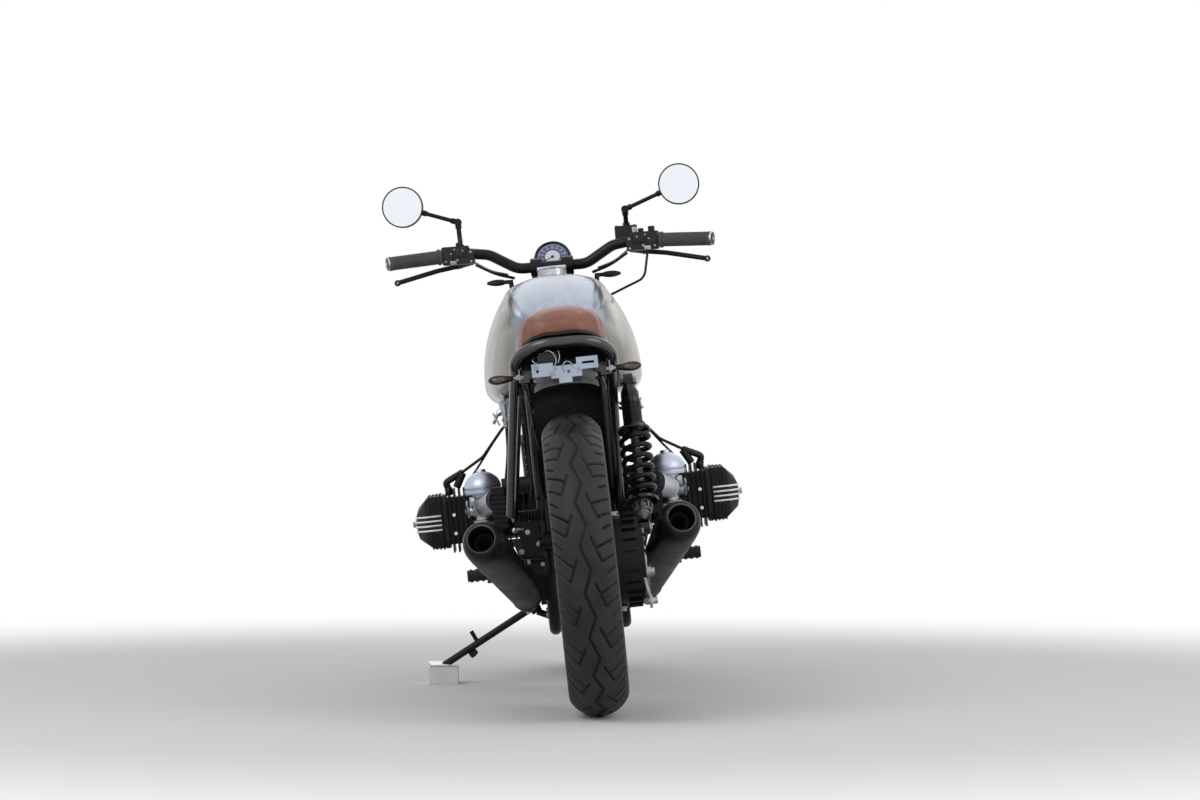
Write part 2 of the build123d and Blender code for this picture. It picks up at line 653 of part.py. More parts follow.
# Handlebar on two risers, with grips, switches and levers.
BAR = [
    (84, FORE + 1112, 1011), (150, FORE + 1107, 1050), (200, FORE + 1102, 1057),
    (257, FORE + 1093, 1054), (391, FORE + 1050, 1045),
]
bar = pipe([flip(p) for p in reversed(BAR)] + BAR, 13, 55)
risers = None
for x in (-38, 38):
    riser = rod(fork(x, 10, 688 + SEAT_GAP), (x, BAR[0][1], BAR[0][2]), 13)
    riser = riser + across(x - 14, x + 14, BAR[0][1], BAR[0][2], 22)
    risers = riser if risers is None else risers + riser
steering["bar_risers"] = risers - bar - steering["yokes"]
steering["handlebar"] = bar
grips = {}
for side, name in ((-1, "left"), (1, "right")):
    inner = Vector(*BAR[3])
    outer = Vector(*BAR[4])
    out = (outer - inner).normalized()
    a = inner + out * 12
    b = outer + out * 6
    grip = rod((a.X, a.Y, a.Z), (b.X, b.Y, b.Z), 17)
    grip = mirrored(grip, side) - bar
    steering["grip_" + name] = grip
    switch = block(200, 262, FORE + 1074, FORE + 1120, 1032, 1076) - mirrored(bar, side)
    perch = block(188, 198, FORE + 1080, FORE + 1150, 1032, 1064)
    perch = perch + rod((193, FORE + 1134, 1038), (235, FORE + 1148, 1030), 8)
    hand = pipe([(222, FORE + 1146, 1031), (280, FORE + 1130, 1022), (378, FORE + 1100, 999)], 6, 60)
    hand = hand + Pos(378, FORE + 1100, 999) * Sphere(8)
    if side > 0:
        tub = block(158, 212, FORE + 1126, FORE + 1172, 1054, 1096)
        perch = perch + tub
    steering["switch_" + name] = mirrored(switch, side) - bar - grip
    lever = mirrored(perch + hand, side) - bar - steering["switch_" + name] - steering["grip_" + name]
    steering["lever_" + name] = lever

# Round mirrors on jointed arms.
MIRRORS = [
    # name, foot, elbow, centre
    ("left", (-218, FORE + 1104, 1070), (-220, FORE + 1104, 1135), (-350, FORE + 1080, 1181)),
    ("right", (187, FORE + 1140, 1094), (187, FORE + 1120, 1135), (323, FORE + 1080, 1184)),
]
for name, foot, elbow, centre in MIRRORS:
    toward = (Vector(*centre) - Vector(*elbow)).normalized()
    rim = Vector(*centre) - toward * 46
    arm = rod(foot, elbow, 6) + Pos(*elbow) * Sphere(8) + rod(elbow, (rim.X, rim.Y + 4, rim.Z), 5)
    shell = rod((centre[0], centre[1] + 14, centre[2]), (centre[0], centre[1] - 4, centre[2]), 50)
    pocket = rod((centre[0], centre[1] - 2, centre[2]), (centre[0], centre[1] - 5, centre[2]), 47)
    glass = rod((centre[0], centre[1] - 2 - SEAT_GAP, centre[2]), (centre[0], centre[1] - 4, centre[2]), 46.7)
    arm = arm + shell - pocket
    arm = arm - bar - steering["switch_" + name] - steering["lever_" + name]
    steering["mirror_" + name] = arm
    steering["mirror_glass_" + name] = glass

# Speedometer: a round case that faces up and back.
GAUGE = Vector(0, FORE + 1182, 1025)
facing = Vector(0, -0.86, 0.5).normalized()
front = GAUGE + facing * 22
back = GAUGE - facing * 30
case = rod((back.X, back.Y, back.Z), (front.X, front.Y, front.Z), 44)
lip = front - facing * 3
dial = rod((lip.X, lip.Y, lip.Z), ((front + facing).X, (front + facing).Y, (front + facing).Z), 39)
case = case - dial
stay = block(-10, 10, FORE + 1150, FORE + 1166, 918, 1012)
steering["speedometer"] = (case + (stay - case - dial)) - bar - steering["bar_risers"] - steering["yokes"]
glass_back = lip + facing * SEAT_GAP
glass_front = front - facing * 0.5
steering["speedometer_dial"] = rod(
    (glass_back.X, glass_back.Y, glass_back.Z), (glass_front.X, glass_front.Y, glass_front.Z), 38.7
)

# Headlight between the fork legs, on two ears.
HEADLIGHT = fork(0, 145, 575)
outline = [
    Line((0, 50), (86, 50)),
    Line((86, 50), (86, -50)),
    ThreePointArc((86, -50), (60, -82), (6, -93)),
    Line((6, -93), (0, -93)),
    Line((0, -93), (0, 50)),
]
shell = Pos(*HEADLIGHT) * revolve(make_face(Curve() + outline), Axis.Y, 360)
recess = rod((0, HEADLIGHT[1] + 30, HEADLIGHT[2]), (0, HEADLIGHT[1] + 60, HEADLIGHT[2]), 80)
ears = across(-LEG_X, LEG_X, HEADLIGHT[1] - 20, HEADLIGHT[2], 9)
for side in (-1, 1):
    ears = ears + rod((side * 96, HEADLIGHT[1] - 20, HEADLIGHT[2]), fork(side * 96, AXLE_OFFSET, 600), 9)
shell = shell + ears - recess - legs
steering["headlight"] = shell - steering["yokes"]
lens_back = HEADLIGHT[1] + 30 + SEAT_GAP
steering["headlight_lens"] = rod((0, lens_back, HEADLIGHT[2]), (0, HEADLIGHT[1] + 48, HEADLIGHT[2]), 79.7)

# Front mudguard with its stays.
front_guard = turned([(-58, 336), (-58, 342), (58, 342), (58, 336)], FRONT_AXLE)
front_guard = front_guard & (
    Pos(0, WHEELBASE, FRONT_RADIUS)
    * extrude(
        Plane.YZ * make_face(Polyline((0, 0), (330, 500), (-500, 600), (-500, 60), close=True)),
        100,
        both=True,
    )
)
stays = block(-LEG_X, LEG_X, WHEELBASE - 180, WHEELBASE - 152, FRONT_RADIUS + 290, FRONT_RADIUS + 318)
stays = stays - across(-70, 70, WHEELBASE, FRONT_RADIUS, 340)
steering["front_mudguard"] = (front_guard + stays) - legs

# Front brake caliper on the left leg.
caliper_at = Vector(*fork(0, AXLE_OFFSET - 118, 60))
caliper = block(-88, -44, caliper_at.Y - 28, caliper_at.Y + 28, caliper_at.Z - 48, caliper_at.Z + 48)
slot = turned([(-69, 20), (-69, 150), (-54, 150), (-54, 20)], FRONT_AXLE)
caliper = caliper - slot
bridge = rod(fork(-92, AXLE_OFFSET - 10, 60), (-84, caliper_at.Y + 10, caliper_at.Z), 12)
steering["front_caliper"] = (caliper + (bridge - slot)) - legs

# Front indicators on the fork legs.
for side, name in ((-1, "left"), (1, "right")):
    base = fork(LEG_X, AXLE_OFFSET, 700)
    lamp = spindle(122, 164, 8, base[1], base[2] + 42)
    stalk = rod(base, (LEG_X + 6, base[1], base[2] + 42), 6) + across(LEG_X, 128, base[1], base[2] + 42, 5)
    collar = rod(fork(LEG_X, AXLE_OFFSET, 688 + SEAT_GAP), fork(LEG_X, AXLE_OFFSET, 704), 23)
    steering["front_indicator_" + name] = mirrored(stalk + lamp + collar, side) - legs

# Brake cable from the right switch down to the top yoke.
cable = pipe([(236, FORE + 1106, 1036), (222, FORE + 1112, 965), (118, FORE + 1174, 925)], 3, 30)
cable = cable - steering["switch_right"] - steering["lever_right"]
steering["brake_cable"] = cable - steering["yokes"]

# Put everything in its place: steer the front end, lean the bike and set the origin.
AXIS = Axis(AXIS_ORIGIN, AXIS_UP)
ORIGIN_X = -89
ORIGIN_Y = 737


def placed(shape):
    return Pos(-ORIGIN_X, -ORIGIN_Y, LIFT) * Rot(0, -LEAN, 0) * shape


# Pieces that belong together are one node each.
GROUPS = [
    (fixed, "cylinders", ["cylinder_left", "cylinder_right"]),
    (fixed, "cylinder_heads", ["head_left", "head_right"]),
    (fixed, "valve_covers", ["valve_cover_left", "valve_cover_right"]),
    (fixed, "cover_fins", ["cover_fins_left", "cover_fins_right"]),
    (fixed, "carburettors", ["carburettor_left", "carburettor_right"]),
    (fixed, "air_box", ["air_box", "battery_box", "intake_hose_left", "intake_hose_right"]),
    (fixed, "exhaust_headers", ["header_left", "header_right"]),
    (fixed, "silencers", ["muffler_left", "muffler_right"]),
    (fixed, "fuel_taps", ["fuel_tap_left", "fuel_tap_right"]),
    (fixed, "foot_controls", ["foot_peg_left", "foot_peg_right", "pedal_left", "pedal_right"]),
    (fixed, "rear_indicators", ["rear_indicator_left", "rear_indicator_right"]),
    (fixed, "engine_block", ["engine_block", "engine_front_cover"]),
    (steering, "front_indicators", ["front_indicator_left", "front_indicator_right"]),
    (steering, "grips", ["grip_left", "grip_right"]),
    (steering, "bar_controls", ["switch_left", "switch_right", "lever_left", "lever_right"]),
    (steering, "mirrors", ["mirror_left", "mirror_right"]),
    (steering, "mirror_glasses", ["mirror_glass_left", "mirror_glass_right"]),
    (steering, "yokes", ["yokes", "bar_risers"]),
    (steering, "fork_legs", ["fork_legs", "front_axle", "front_caliper"]),
]
for group, whole, names in GROUPS:
    group[whole] = joined([group.pop(name) for name in names])

nodes = {}
for name, shape in fixed.items():
    nodes[name] = placed(shape)
for name, shape in list(steering.items()) + list(wheel_front.items()):
    nodes[name] = placed(shape.rotate(AXIS, -REST_STEER))

# The block under the stand's foot stands level on the road.
foot_place = placed(Pos(*STAND_FOOT) * Box(1, 1, 1)).center()
nodes["stand_block"] = Pos(foot_place.X, foot_place.Y, BLOCK_TOP / 2) * Box(69, 80, BLOCK_TOP)

os.makedirs("parts", exist_ok=True)
for name, shape in nodes.items():
    export_step(shape, "parts/" + name + ".step")
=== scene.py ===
import math

import bmesh
import bpy
import numpy as np
from mathutils import Matrix, Vector
from mathutils.bvhtree import BVHTree


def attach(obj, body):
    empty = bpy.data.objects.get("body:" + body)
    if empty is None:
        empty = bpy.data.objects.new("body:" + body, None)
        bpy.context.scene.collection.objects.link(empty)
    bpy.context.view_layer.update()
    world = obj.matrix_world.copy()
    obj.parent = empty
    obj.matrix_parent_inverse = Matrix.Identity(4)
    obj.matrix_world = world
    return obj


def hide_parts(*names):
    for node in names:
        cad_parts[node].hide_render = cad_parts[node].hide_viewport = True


bl_info = {
    "name": "Cafe Racer Motorcycle",
    "version": (1, 0, 0),
    "blender": (4, 5, 0),
    "location": "View3D > Sidebar > Cafe Racer",
    "description": "Dresses the packed motorcycle: tyres, seat, engine trim, bars, lamps and stage",
    "category": "Object",
}

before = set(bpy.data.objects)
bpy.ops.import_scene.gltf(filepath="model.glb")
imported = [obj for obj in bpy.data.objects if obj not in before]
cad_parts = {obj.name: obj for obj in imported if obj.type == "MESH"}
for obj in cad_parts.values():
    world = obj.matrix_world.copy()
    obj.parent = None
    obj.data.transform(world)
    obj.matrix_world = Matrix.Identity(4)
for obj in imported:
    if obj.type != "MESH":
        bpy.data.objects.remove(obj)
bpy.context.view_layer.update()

# The upright bike is drawn in millimetres and set down leaning, as in the part's source.
LEAN = math.radians(6.1)
REST_STEER = math.radians(3.4)
TYRE_CROWN = 71
LIFT = TYRE_CROWN * (1 - math.cos(LEAN))
ORIGIN_X = -89
ORIGIN_Y = 737
RAKE = math.radians(28)
WHEELBASE = 1480
REAR_RADIUS = 328
FRONT_RADIUS = 322
FORK_OFFSET = 45
AXIS_UP = Vector((0, -math.sin(RAKE), math.cos(RAKE)))
AXIS_FORWARD = Vector((0, math.cos(RAKE), math.sin(RAKE)))
AXIS_ORIGIN = Vector((0, WHEELBASE, FRONT_RADIUS)) - AXIS_FORWARD * FORK_OFFSET
PLACE = (
    Matrix.Scale(0.001, 4)
    @ Matrix.Translation((-ORIGIN_X, -ORIGIN_Y, LIFT))
    @ Matrix.Rotation(-LEAN, 4, "Y")
)
STEERED = (
    PLACE
    @ Matrix.Translation(AXIS_ORIGIN)
    @ Matrix.Rotation(-REST_STEER, 4, AXIS_UP)
    @ Matrix.Translation(-AXIS_ORIGIN)
)
FRONT_BODIES = ("steering", "front_wheel")

# Pens draw a part on each side: (side, shift along the bike). The right cylinder stands
# further back than the left one.
CYLINDER_Z = 427
SIDES = ((-1, 0), (1, 0))
CYLINDERS = ((-1, 935), (1, 895))
CARBURETTORS = tuple((side, y - 132) for side, y in CYLINDERS)
OUT, IN, FORWARD, BACK, UP, DOWN = (1, 0, 0), (-1, 0, 0), (0, 1, 0), (0, -1, 0), (0, 0, 1), (0, 0, -1)


def place_of(body):
    """The matrix from the upright bike's millimetres to where a body stands."""
    return STEERED if body in FRONT_BODIES else PLACE


def both_sides(rows, pens=SIDES):
    """Rows (place, facing, size) of screws or rings, repeated by each pen."""
    return [
        ((side * x, along + y, z), (side * fx, fy, fz), size)
        for side, along in pens
        for (x, y, z), (fx, fy, fz), size in rows
    ]


# Shapes


def smooth_line(points, steps=8):
    """A line that runs smoothly through the points."""
    if len(points) < 3:
        return points
    p = [points[0] * 2 - points[1], *points, points[-1] * 2 - points[-2]]
    line = []
    for a, b, c, d in zip(p, p[1:], p[2:], p[3:]):
        for t in (k / steps for k in range(steps)):
            bend = (2 * a - 5 * b + 4 * c - d) * t * t + (3 * b - a - 3 * c + d) * t**3
            line.append(0.5 * (2 * b + (c - a) * t + bend))
    line.append(p[-2])
    return line


def circle(centre, side, other, radius, count):
    """Points of a circle in the plane of two directions."""
    turns = (2 * math.pi * i / count for i in range(count))
    return [centre + side * (radius * math.cos(a)) + other * (radius * math.sin(a)) for a in turns]


def soften(made, bevel, steps):
    """Rounds every edge of a block."""
    if bevel:
        bmesh.ops.bevel(made, geom=made.edges, offset=bevel, segments=steps, profile=0.6, affect="EDGES")


class Shape:
    """A mesh drawn in millimetres of the upright bike."""

    def __init__(self):
        self.bm = bmesh.new()
        self.side, self.along = 1, 0

    def stand(self, side, along=0):
        """Draws what follows on one side, shifted along the bike."""
        self.side, self.along = side, along

    def at(self, p):
        """A point as it stands on the side that is being drawn."""
        return Vector((self.side * p[0], self.along + p[1], p[2]))

    def tube(self, rows, caps=True):
        """Joins closed rows of points into a tube, with its ends filled."""
        made = [[self.bm.verts.new(p) for p in row] for row in rows]
        for a, b in zip(made, made[1:]):
            for j in range(len(a)):
                k = (j + 1) % len(a)
                self.bm.faces.new((a[j], a[k], b[k], b[j]))
        if caps:
            self.bm.faces.new(list(reversed(made[0])))
            self.bm.faces.new(made[-1])

    def lathe(self, start, end, profile, segments=32, caps=True):
        """Turns (distance, radius) pairs about the line from start to end."""
        start = self.at(start)
        along = (self.at(end) - start).normalized()
        side = along.orthogonal().normalized()
        other = along.cross(side)
        rows = [circle(start + along * far, side, other, radius, segments) for far, radius in profile]
        self.tube(rows, caps)

    def rod(self, start, end, radius, edge=None, segments=24):
        """A round bar with softened ends."""
        length = (Vector(end) - Vector(start)).length
        edge = min(radius * 0.2, 1.2, length * 0.3) if edge is None else edge
        profile = [(0, radius - edge), (edge, radius), (length - edge, radius), (length, radius - edge)]
        self.lathe(start, end, profile, segments)

    def pipe(self, points, radius, segments=12, smooth=True, taper=None):
        """A round wire along a line through the points."""
        path = [self.at(p) for p in points]
        path = smooth_line(path) if smooth else path
        last = len(path) - 1
        side = (path[1] - path[0]).orthogonal().normalized()
        rows = []
        for i, p in enumerate(path):
            ahead = path[min(i + 1, last)] - path[max(i - 1, 0)]
            ahead.normalize()
            side = (side - ahead * side.dot(ahead)).normalized()
            wide = radius if taper is None else radius + (taper - radius) * (i / last)
            rows.append(circle(p, side, ahead.cross(side), wide, segments))
        self.tube(rows)

    def box(self, centre, size, turn=None, bevel=1.0, steps=2):
        """A block with rounded edges."""
        made = bmesh.new()
        bmesh.ops.create_cube(made, size=1)
        bmesh.ops.scale(made, vec=size, verts=made.verts)
        soften(made, bevel, steps)
        matrix = Matrix.Translation(self.at(centre)) @ (turn.to_matrix().to_4x4() if turn else Matrix())
        bmesh.ops.transform(made, matrix=matrix, verts=made.verts)
        self.take(made)

    def hull(self, points, bevel, steps=2):
        """A block with rounded edges round the given points."""
        made = bmesh.new()
        for p in points:
            made.verts.new(self.at(p))
        bmesh.ops.convex_hull(made, input=made.verts)
        bmesh.ops.dissolve_limit(made, angle_limit=0.02, verts=made.verts, edges=made.edges)
        bmesh.ops.delete(made, geom=[v for v in made.verts if not v.link_faces], context="VERTS")
        soften(made, bevel, steps)
        self.take(made)

    def take(self, made):
        """Moves another bmesh's faces into this one."""
        mesh = bpy.data.meshes.new("part")
        made.to_mesh(mesh)
        made.free()
        self.bm.from_mesh(mesh)
        bpy.data.meshes.remove(mesh)


def new_object(name, data):
    """An object of the scene, at the origin."""
    made = bpy.data.objects.new(name, data)
    bpy.context.scene.collection.objects.link(made)
    return made


def plain_mesh(piece):
    """The mesh of an object as its modifiers leave it."""
    return bpy.data.meshes.new_from_object(piece.evaluated_get(bpy.context.evaluated_depsgraph_get()))


def add_piece(shape, name, finish, body="frame", replaces=None, angle=40):
    """Sets a shape, or a mesh that is already in place, on its body with its finish."""
    mesh = shape
    if isinstance(shape, Shape):
        mesh = bpy.data.meshes.new(name)
        bmesh.ops.recalc_face_normals(shape.bm, faces=shape.bm.faces)
        shape.bm.to_mesh(mesh)
        shape.bm.free()
        mesh.transform(place_of(body))
    mesh.name = name
    mesh.polygons.foreach_set("use_smooth", [True] * len(mesh.polygons))
    mesh.set_sharp_from_angle(angle=math.radians(angle))
    mesh.materials.clear()
    mesh.materials.append(finish_of(finish))
    piece = new_object(name, mesh)
    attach(piece, body)
    if replaces:
        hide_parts(replaces)
    return piece


# Node trees


def new_tree(name, kind, inputs, outputs):
    """A node tree with named sockets; returns it with its input and output nodes."""
    tree = bpy.data.node_groups.new(name, kind)
    for in_out, rows in (("INPUT", inputs), ("OUTPUT", outputs)):
        for socket, value_kind, value in rows:
            made = tree.interface.new_socket(
                name=socket, in_out=in_out, socket_type="NodeSocket" + value_kind
            )
            if value is not None:
                made.default_value = value
    return tree, tree.nodes.new("NodeGroupInput"), tree.nodes.new("NodeGroupOutput")


def add_node(tree, kind, values=None, **settings):
    """A node with its settings; a value that comes from another node is linked, others are set."""
    node = tree.nodes.new(kind)
    for key, value in settings.items():
        setattr(node, key, value)
    for socket, value in (values or {}).items():
        if isinstance(value, bpy.types.NodeSocket):
            tree.links.new(value, node.inputs[socket])
        else:
            node.inputs[socket].default_value = value
    return node


# Finishes

FINISHES = {}
DUST_COLOUR = (0.33, 0.29, 0.24)
# Where the tank's painted flank reflection starts and where it is full, in metres from the middle plane
REFLECTION_FLANK_EDGE = (0.085, 0.125)


def noise(tree, vector, scale, detail, roughness=0.55):
    """Soft noise from 0 to 1; the scale is a number or comes from a socket."""
    values = {"Vector": vector, "Scale": scale, "Detail": detail, "Roughness": roughness}
    return add_node(tree, "ShaderNodeTexNoise", values).outputs["Fac"]


def maths(tree, kind, *values, clamp=False):
    """One step of arithmetic on numbers and sockets."""
    node = add_node(tree, "ShaderNodeMath", dict(enumerate(values)), operation=kind, use_clamp=clamp)
    return node.outputs[0]


def blend_colour(tree, share, *colours):
    """Goes from the first colour to the second as the share rises."""
    a, b = [(*c, 1) if isinstance(c, tuple) else c for c in colours]
    return add_node(tree, "ShaderNodeMix", {0: share, 6: a, 7: b}, data_type="RGBA").outputs[2]


def spread(tree, value, low, high, out_low=0.0, out_high=1.0):
    """Stretches the part of a value between low and high, smoothly at both ends."""
    values = {"Value": value, "From Min": low, "From Max": high, "To Min": out_low, "To Max": out_high}
    return add_node(tree, "ShaderNodeMapRange", values, interpolation_type="SMOOTHSTEP").outputs["Result"]


def surface_grain():
    """Fine surface grain: a height for bump and a patchy tone."""
    tree, given, out = new_tree(
        "surface_grain",
        "ShaderNodeTree",
        [("Vector", "Vector", None), ("Scale", "Float", 400.0)],
        [("Height", "Float", None), ("Tone", "Float", None)],
    )
    fine = noise(tree, given.outputs["Vector"], given.outputs["Scale"], 4)
    wide = noise(tree, given.outputs["Vector"], 14.0, 4)
    tree.links.new(fine, out.inputs["Height"])
    tree.links.new(spread(tree, wide, 0.35, 0.7), out.inputs["Tone"])
    return tree


def road_dust():
    """Road dust: more of it low down and in patches."""
    tree, given, out = new_tree(
        "road_dust",
        "ShaderNodeTree",
        [("Vector", "Vector", None), ("Reach", "Float", 0.5)],
        [("Mask", "Float", None)],
    )
    height = add_node(tree, "ShaderNodeSeparateXYZ", {0: given.outputs["Vector"]}).outputs["Z"]
    low = maths(tree, "DIVIDE", height, given.outputs["Reach"])
    low = maths(tree, "SUBTRACT", 1.0, low, clamp=True)
    patches = spread(tree, noise(tree, given.outputs["Vector"], 30.0, 5, 0.65), 0.3, 0.75)
    tree.links.new(maths(tree, "MULTIPLY", low, patches), out.inputs["Mask"])
    return tree


def add_group(tree, make, values):
    """Places a shared shader group in a material, with its own values."""
    group = bpy.data.node_groups.get(make.__name__) or make()
    return add_node(tree, "ShaderNodeGroup", values, node_tree=group).outputs


def finish_of(name):
    """The material of one row of the table, made once, in the user's colour where there is one."""
    if name not in FINISHES:
        slot, colour, *row = FINISH_TABLE[name]
        if name in BikeColours.__annotations__:
            colour = tuple(getattr(bpy.context.scene.bike_colours, name))
        FINISHES[name] = make_finish(name, colour, *row)
    return FINISHES[name]


def make_finish(name, colour, second, roughness, metallic, grain, bump, extra):
    """A painted, cast, moulded or polished surface from one row of the table."""
    material = bpy.data.materials.new(name)
    material.use_nodes = True
    tree = material.node_tree
    shader = tree.nodes["Principled BSDF"]
    spot = add_node(tree, "ShaderNodeTexCoord").outputs["Object"]
    place = spot
    if "stretch" in extra:
        place = add_node(tree, "ShaderNodeMapping", {"Vector": spot, "Scale": extra["stretch"]}).outputs[0]
    surface = add_group(tree, surface_grain, {"Scale": grain, "Vector": place})
    tone = blend_colour(tree, surface["Tone"], colour, second)
    if "dust" in extra:
        layer = add_group(tree, road_dust, {"Vector": place})
        tone = blend_colour(tree, maths(tree, "MULTIPLY", layer["Mask"], extra["dust"]), tone, DUST_COLOUR)
    # Painted shade: where the attribute is set, in the tyre's grooves, the colour turns darker
    if "attribute" in extra:
        shade_mark = add_node(tree, "ShaderNodeAttribute", attribute_name=extra["attribute"])
        tone = blend_colour(tree, shade_mark.outputs["Fac"], tone, extra["marked"])
    if "flanks" in extra:
        # Painted reflection: warmer streaked tones of the surroundings away from the leaning bike's middle
        # plane, over the bluish painted sky reflection of the tank's top
        across = {0: spot, 1: (math.cos(LEAN), 0, math.sin(LEAN))}
        across = add_node(tree, "ShaderNodeVectorMath", across, operation="DOT_PRODUCT").outputs["Value"]
        out = maths(tree, "ABSOLUTE", maths(tree, "ADD", across, ORIGIN_X / 1000 * math.cos(LEAN)))
        reflection_streaks = spread(tree, noise(tree, place, 11.0, 2, 0.4), 0.36, 0.64)
        flank_reflection = blend_colour(tree, reflection_streaks, *extra["flanks"])
        tone = blend_colour(tree, spread(tree, out, *REFLECTION_FLANK_EDGE), tone, flank_reflection)
    tree.links.new(tone, shader.inputs["Base Color"])
    rough = spread(tree, surface["Tone"], 0.0, 1.0, roughness * 0.88, min(1, roughness * 1.15))
    tree.links.new(rough, shader.inputs["Roughness"])
    shader.inputs["Metallic"].default_value = metallic
    for socket, value in extra.items():
        if socket in shader.inputs:
            shader.inputs[socket].default_value = value
    if bump:
        height = surface["Height"]
        if "cells" in extra:
            cells = {"Scale": extra["cells"], "Vector": place}
            cells = add_node(tree, "ShaderNodeTexVoronoi", cells, feature="SMOOTH_F1")
            height = maths(tree, "ADD", height, cells.outputs["Distance"])
        values = {"Strength": bump, "Distance": extra.get("depth", 0.0004), "Height": height}
        tree.links.new(add_node(tree, "ShaderNodeBump", values).outputs["Normal"], shader.inputs["Normal"])
    return material


DULL = {"Specular IOR Level": 0.22}
MILD = {"Specular IOR Level": 0.3}
SHINY = {"Specular IOR Level": 0.9}

# name: record's slot, colour, second tone, roughness, metallic, grain scale, bump, extra
FINISH_TABLE = {
    "satin_black": (
        "frame_black", (0.004, 0.004, 0.005), (0.009, 0.009, 0.010), 0.3, 0, 700, 0.12, DULL),
    "hoop_black": (
        "frame_black", (0.005, 0.005, 0.006), (0.008, 0.008, 0.009), 0.24, 0, 300, 0.03, SHINY),
    "guard_black": (
        "frame_black", (0.010, 0.011, 0.013), (0.016, 0.017, 0.020), 0.3, 0, 300, 0.03, SHINY),
    "gloss_black": (
        "frame_black", (0.006, 0.006, 0.007), (0.010, 0.010, 0.011), 0.18, 0, 300, 0.04,
        {"Specular IOR Level": 0.4}),
    "engine_black": (
        "engine_black", (0.005, 0.005, 0.006), (0.011, 0.011, 0.012), 0.36, 0, 500, 0.3,
        {"dust": 0.015, **DULL}),
    "heat_black": (
        "exhaust_black", (0.007, 0.007, 0.007), (0.012, 0.0115, 0.011), 0.42, 0, 900, 0.2,
        {"dust": 0.02, **DULL}),
    "soot": ("exhaust_black", (0.006, 0.006, 0.006), (0.012, 0.011, 0.010), 0.9, 0, 500, 0.2, {}),
    "cast_alloy": ("cast_silver", (0.30, 0.32, 0.35), (0.46, 0.48, 0.51), 0.38, 1, 420, 0.3, {}),
    "dome_alloy": ("cast_silver", (0.46, 0.51, 0.60), (0.56, 0.60, 0.68), 0.42, 1, 500, 0.2, {}),
    "bright_alloy": ("bright_alloy", (0.62, 0.63, 0.65), (0.50, 0.51, 0.53), 0.24, 1, 300, 0.08, {}),
    "fin_alloy": ("bright_alloy", (0.78, 0.79, 0.80), (0.62, 0.63, 0.64), 0.34, 1, 600, 0.25, {}),
    "worn_edge": ("bright_alloy", (0.10, 0.10, 0.10), (0.20, 0.20, 0.20), 0.35, 0.6, 600, 0.2, {}),
    "tap_steel": ("bright_alloy", (0.50, 0.60, 0.70), (0.60, 0.68, 0.76), 0.3, 1, 400, 0.12, {}),
    "zinc_steel": ("bright_alloy", (0.40, 0.42, 0.45), (0.26, 0.27, 0.29), 0.34, 1, 500, 0.15, {}),
    "ground_steel": ("disc_steel", (0.62, 0.62, 0.62), (0.52, 0.52, 0.52), 0.28, 1, 900, 0.2, {}),
    "bracket_steel": ("plain_steel", (0.40, 0.45, 0.55), (0.34, 0.39, 0.49), 0.34, 1, 300, 0.1, {}),
    # The tank's bluish tones are a painted sky reflection; its flank tones are a painted reflection of the
    # brown surroundings
    "tank_metal": (
        "tank_metal", (0.17, 0.21, 0.28), (0.24, 0.285, 0.36), 0.22, 1, 40, 0.04,
        {
            "stretch": (2.2, 1.0, 0.35), "depth": 0.0006,
            "flanks": ((0.225, 0.212, 0.188), (0.165, 0.152, 0.130)),
        }),
    "moulded_black": (
        "black_plastic", (0.010, 0.010, 0.011), (0.018, 0.018, 0.019), 0.38, 0, 900, 0.2, MILD),
    "hose_rubber": (
        "hose_rubber", (0.010, 0.010, 0.010), (0.018, 0.018, 0.018), 0.6, 0, 600, 0.3,
        {"dust": 0.02, **MILD}),
    "grip_rubber": ("grip_rubber", (0.075, 0.071, 0.066), (0.11, 0.105, 0.098), 0.75, 0, 800, 0.3, {}),
    # The grooves are painted a darker black: painted shade in the recesses
    "tread_rubber": (
        "tyre_rubber", (0.017, 0.0165, 0.016), (0.036, 0.034, 0.032), 0.55, 0, 500, 0.35,
        {"attribute": "groove", "marked": (0.003, 0.003, 0.003), "Specular IOR Level": 0.25}),
    "brown_leather": (
        "tan_leather", (0.21, 0.074, 0.046), (0.29, 0.108, 0.070), 0.42, 0, 700, 0.35,
        {"cells": 420.0, "depth": 0.0006, "Sheen Weight": 0.15}),
    "stitch_thread": ("tan_leather", (0.10, 0.038, 0.024), (0.14, 0.055, 0.035), 0.7, 0, 900, 0.2, {}),
    "mirror_glass": ("mirror_glass", (0.86, 0.90, 0.95), (0.84, 0.88, 0.93), 0.02, 1, 20, 0, {}),
    "dial_blue": (
        "dial_face", (0.05, 0.075, 0.17), (0.07, 0.11, 0.24), 0.35, 0, 40, 0, {"Coat Weight": 0.6}),
    "dial_white": ("dial_face", (0.82, 0.86, 0.92), (0.76, 0.80, 0.88), 0.4, 0, 60, 0, {}),
    "lamp_clear": (
        "lamp_glass", (0.74, 0.77, 0.80), (0.62, 0.65, 0.69), 0.12, 0, 60, 0.3,
        {"Transmission Weight": 0.25, "IOR": 1.45, "Coat Weight": 0.8, "cells": 90.0, "depth": 0.0008}),
    "lamp_smoke": (
        "lamp_glass", (0.060, 0.034, 0.022), (0.08, 0.045, 0.03), 0.12, 0, 40, 0, {"Coat Weight": 0.8}),
    "pale_block": ("stand_concrete", (0.72, 0.72, 0.74), (0.80, 0.80, 0.81), 0.8, 0, 200, 0.4, {}),
}

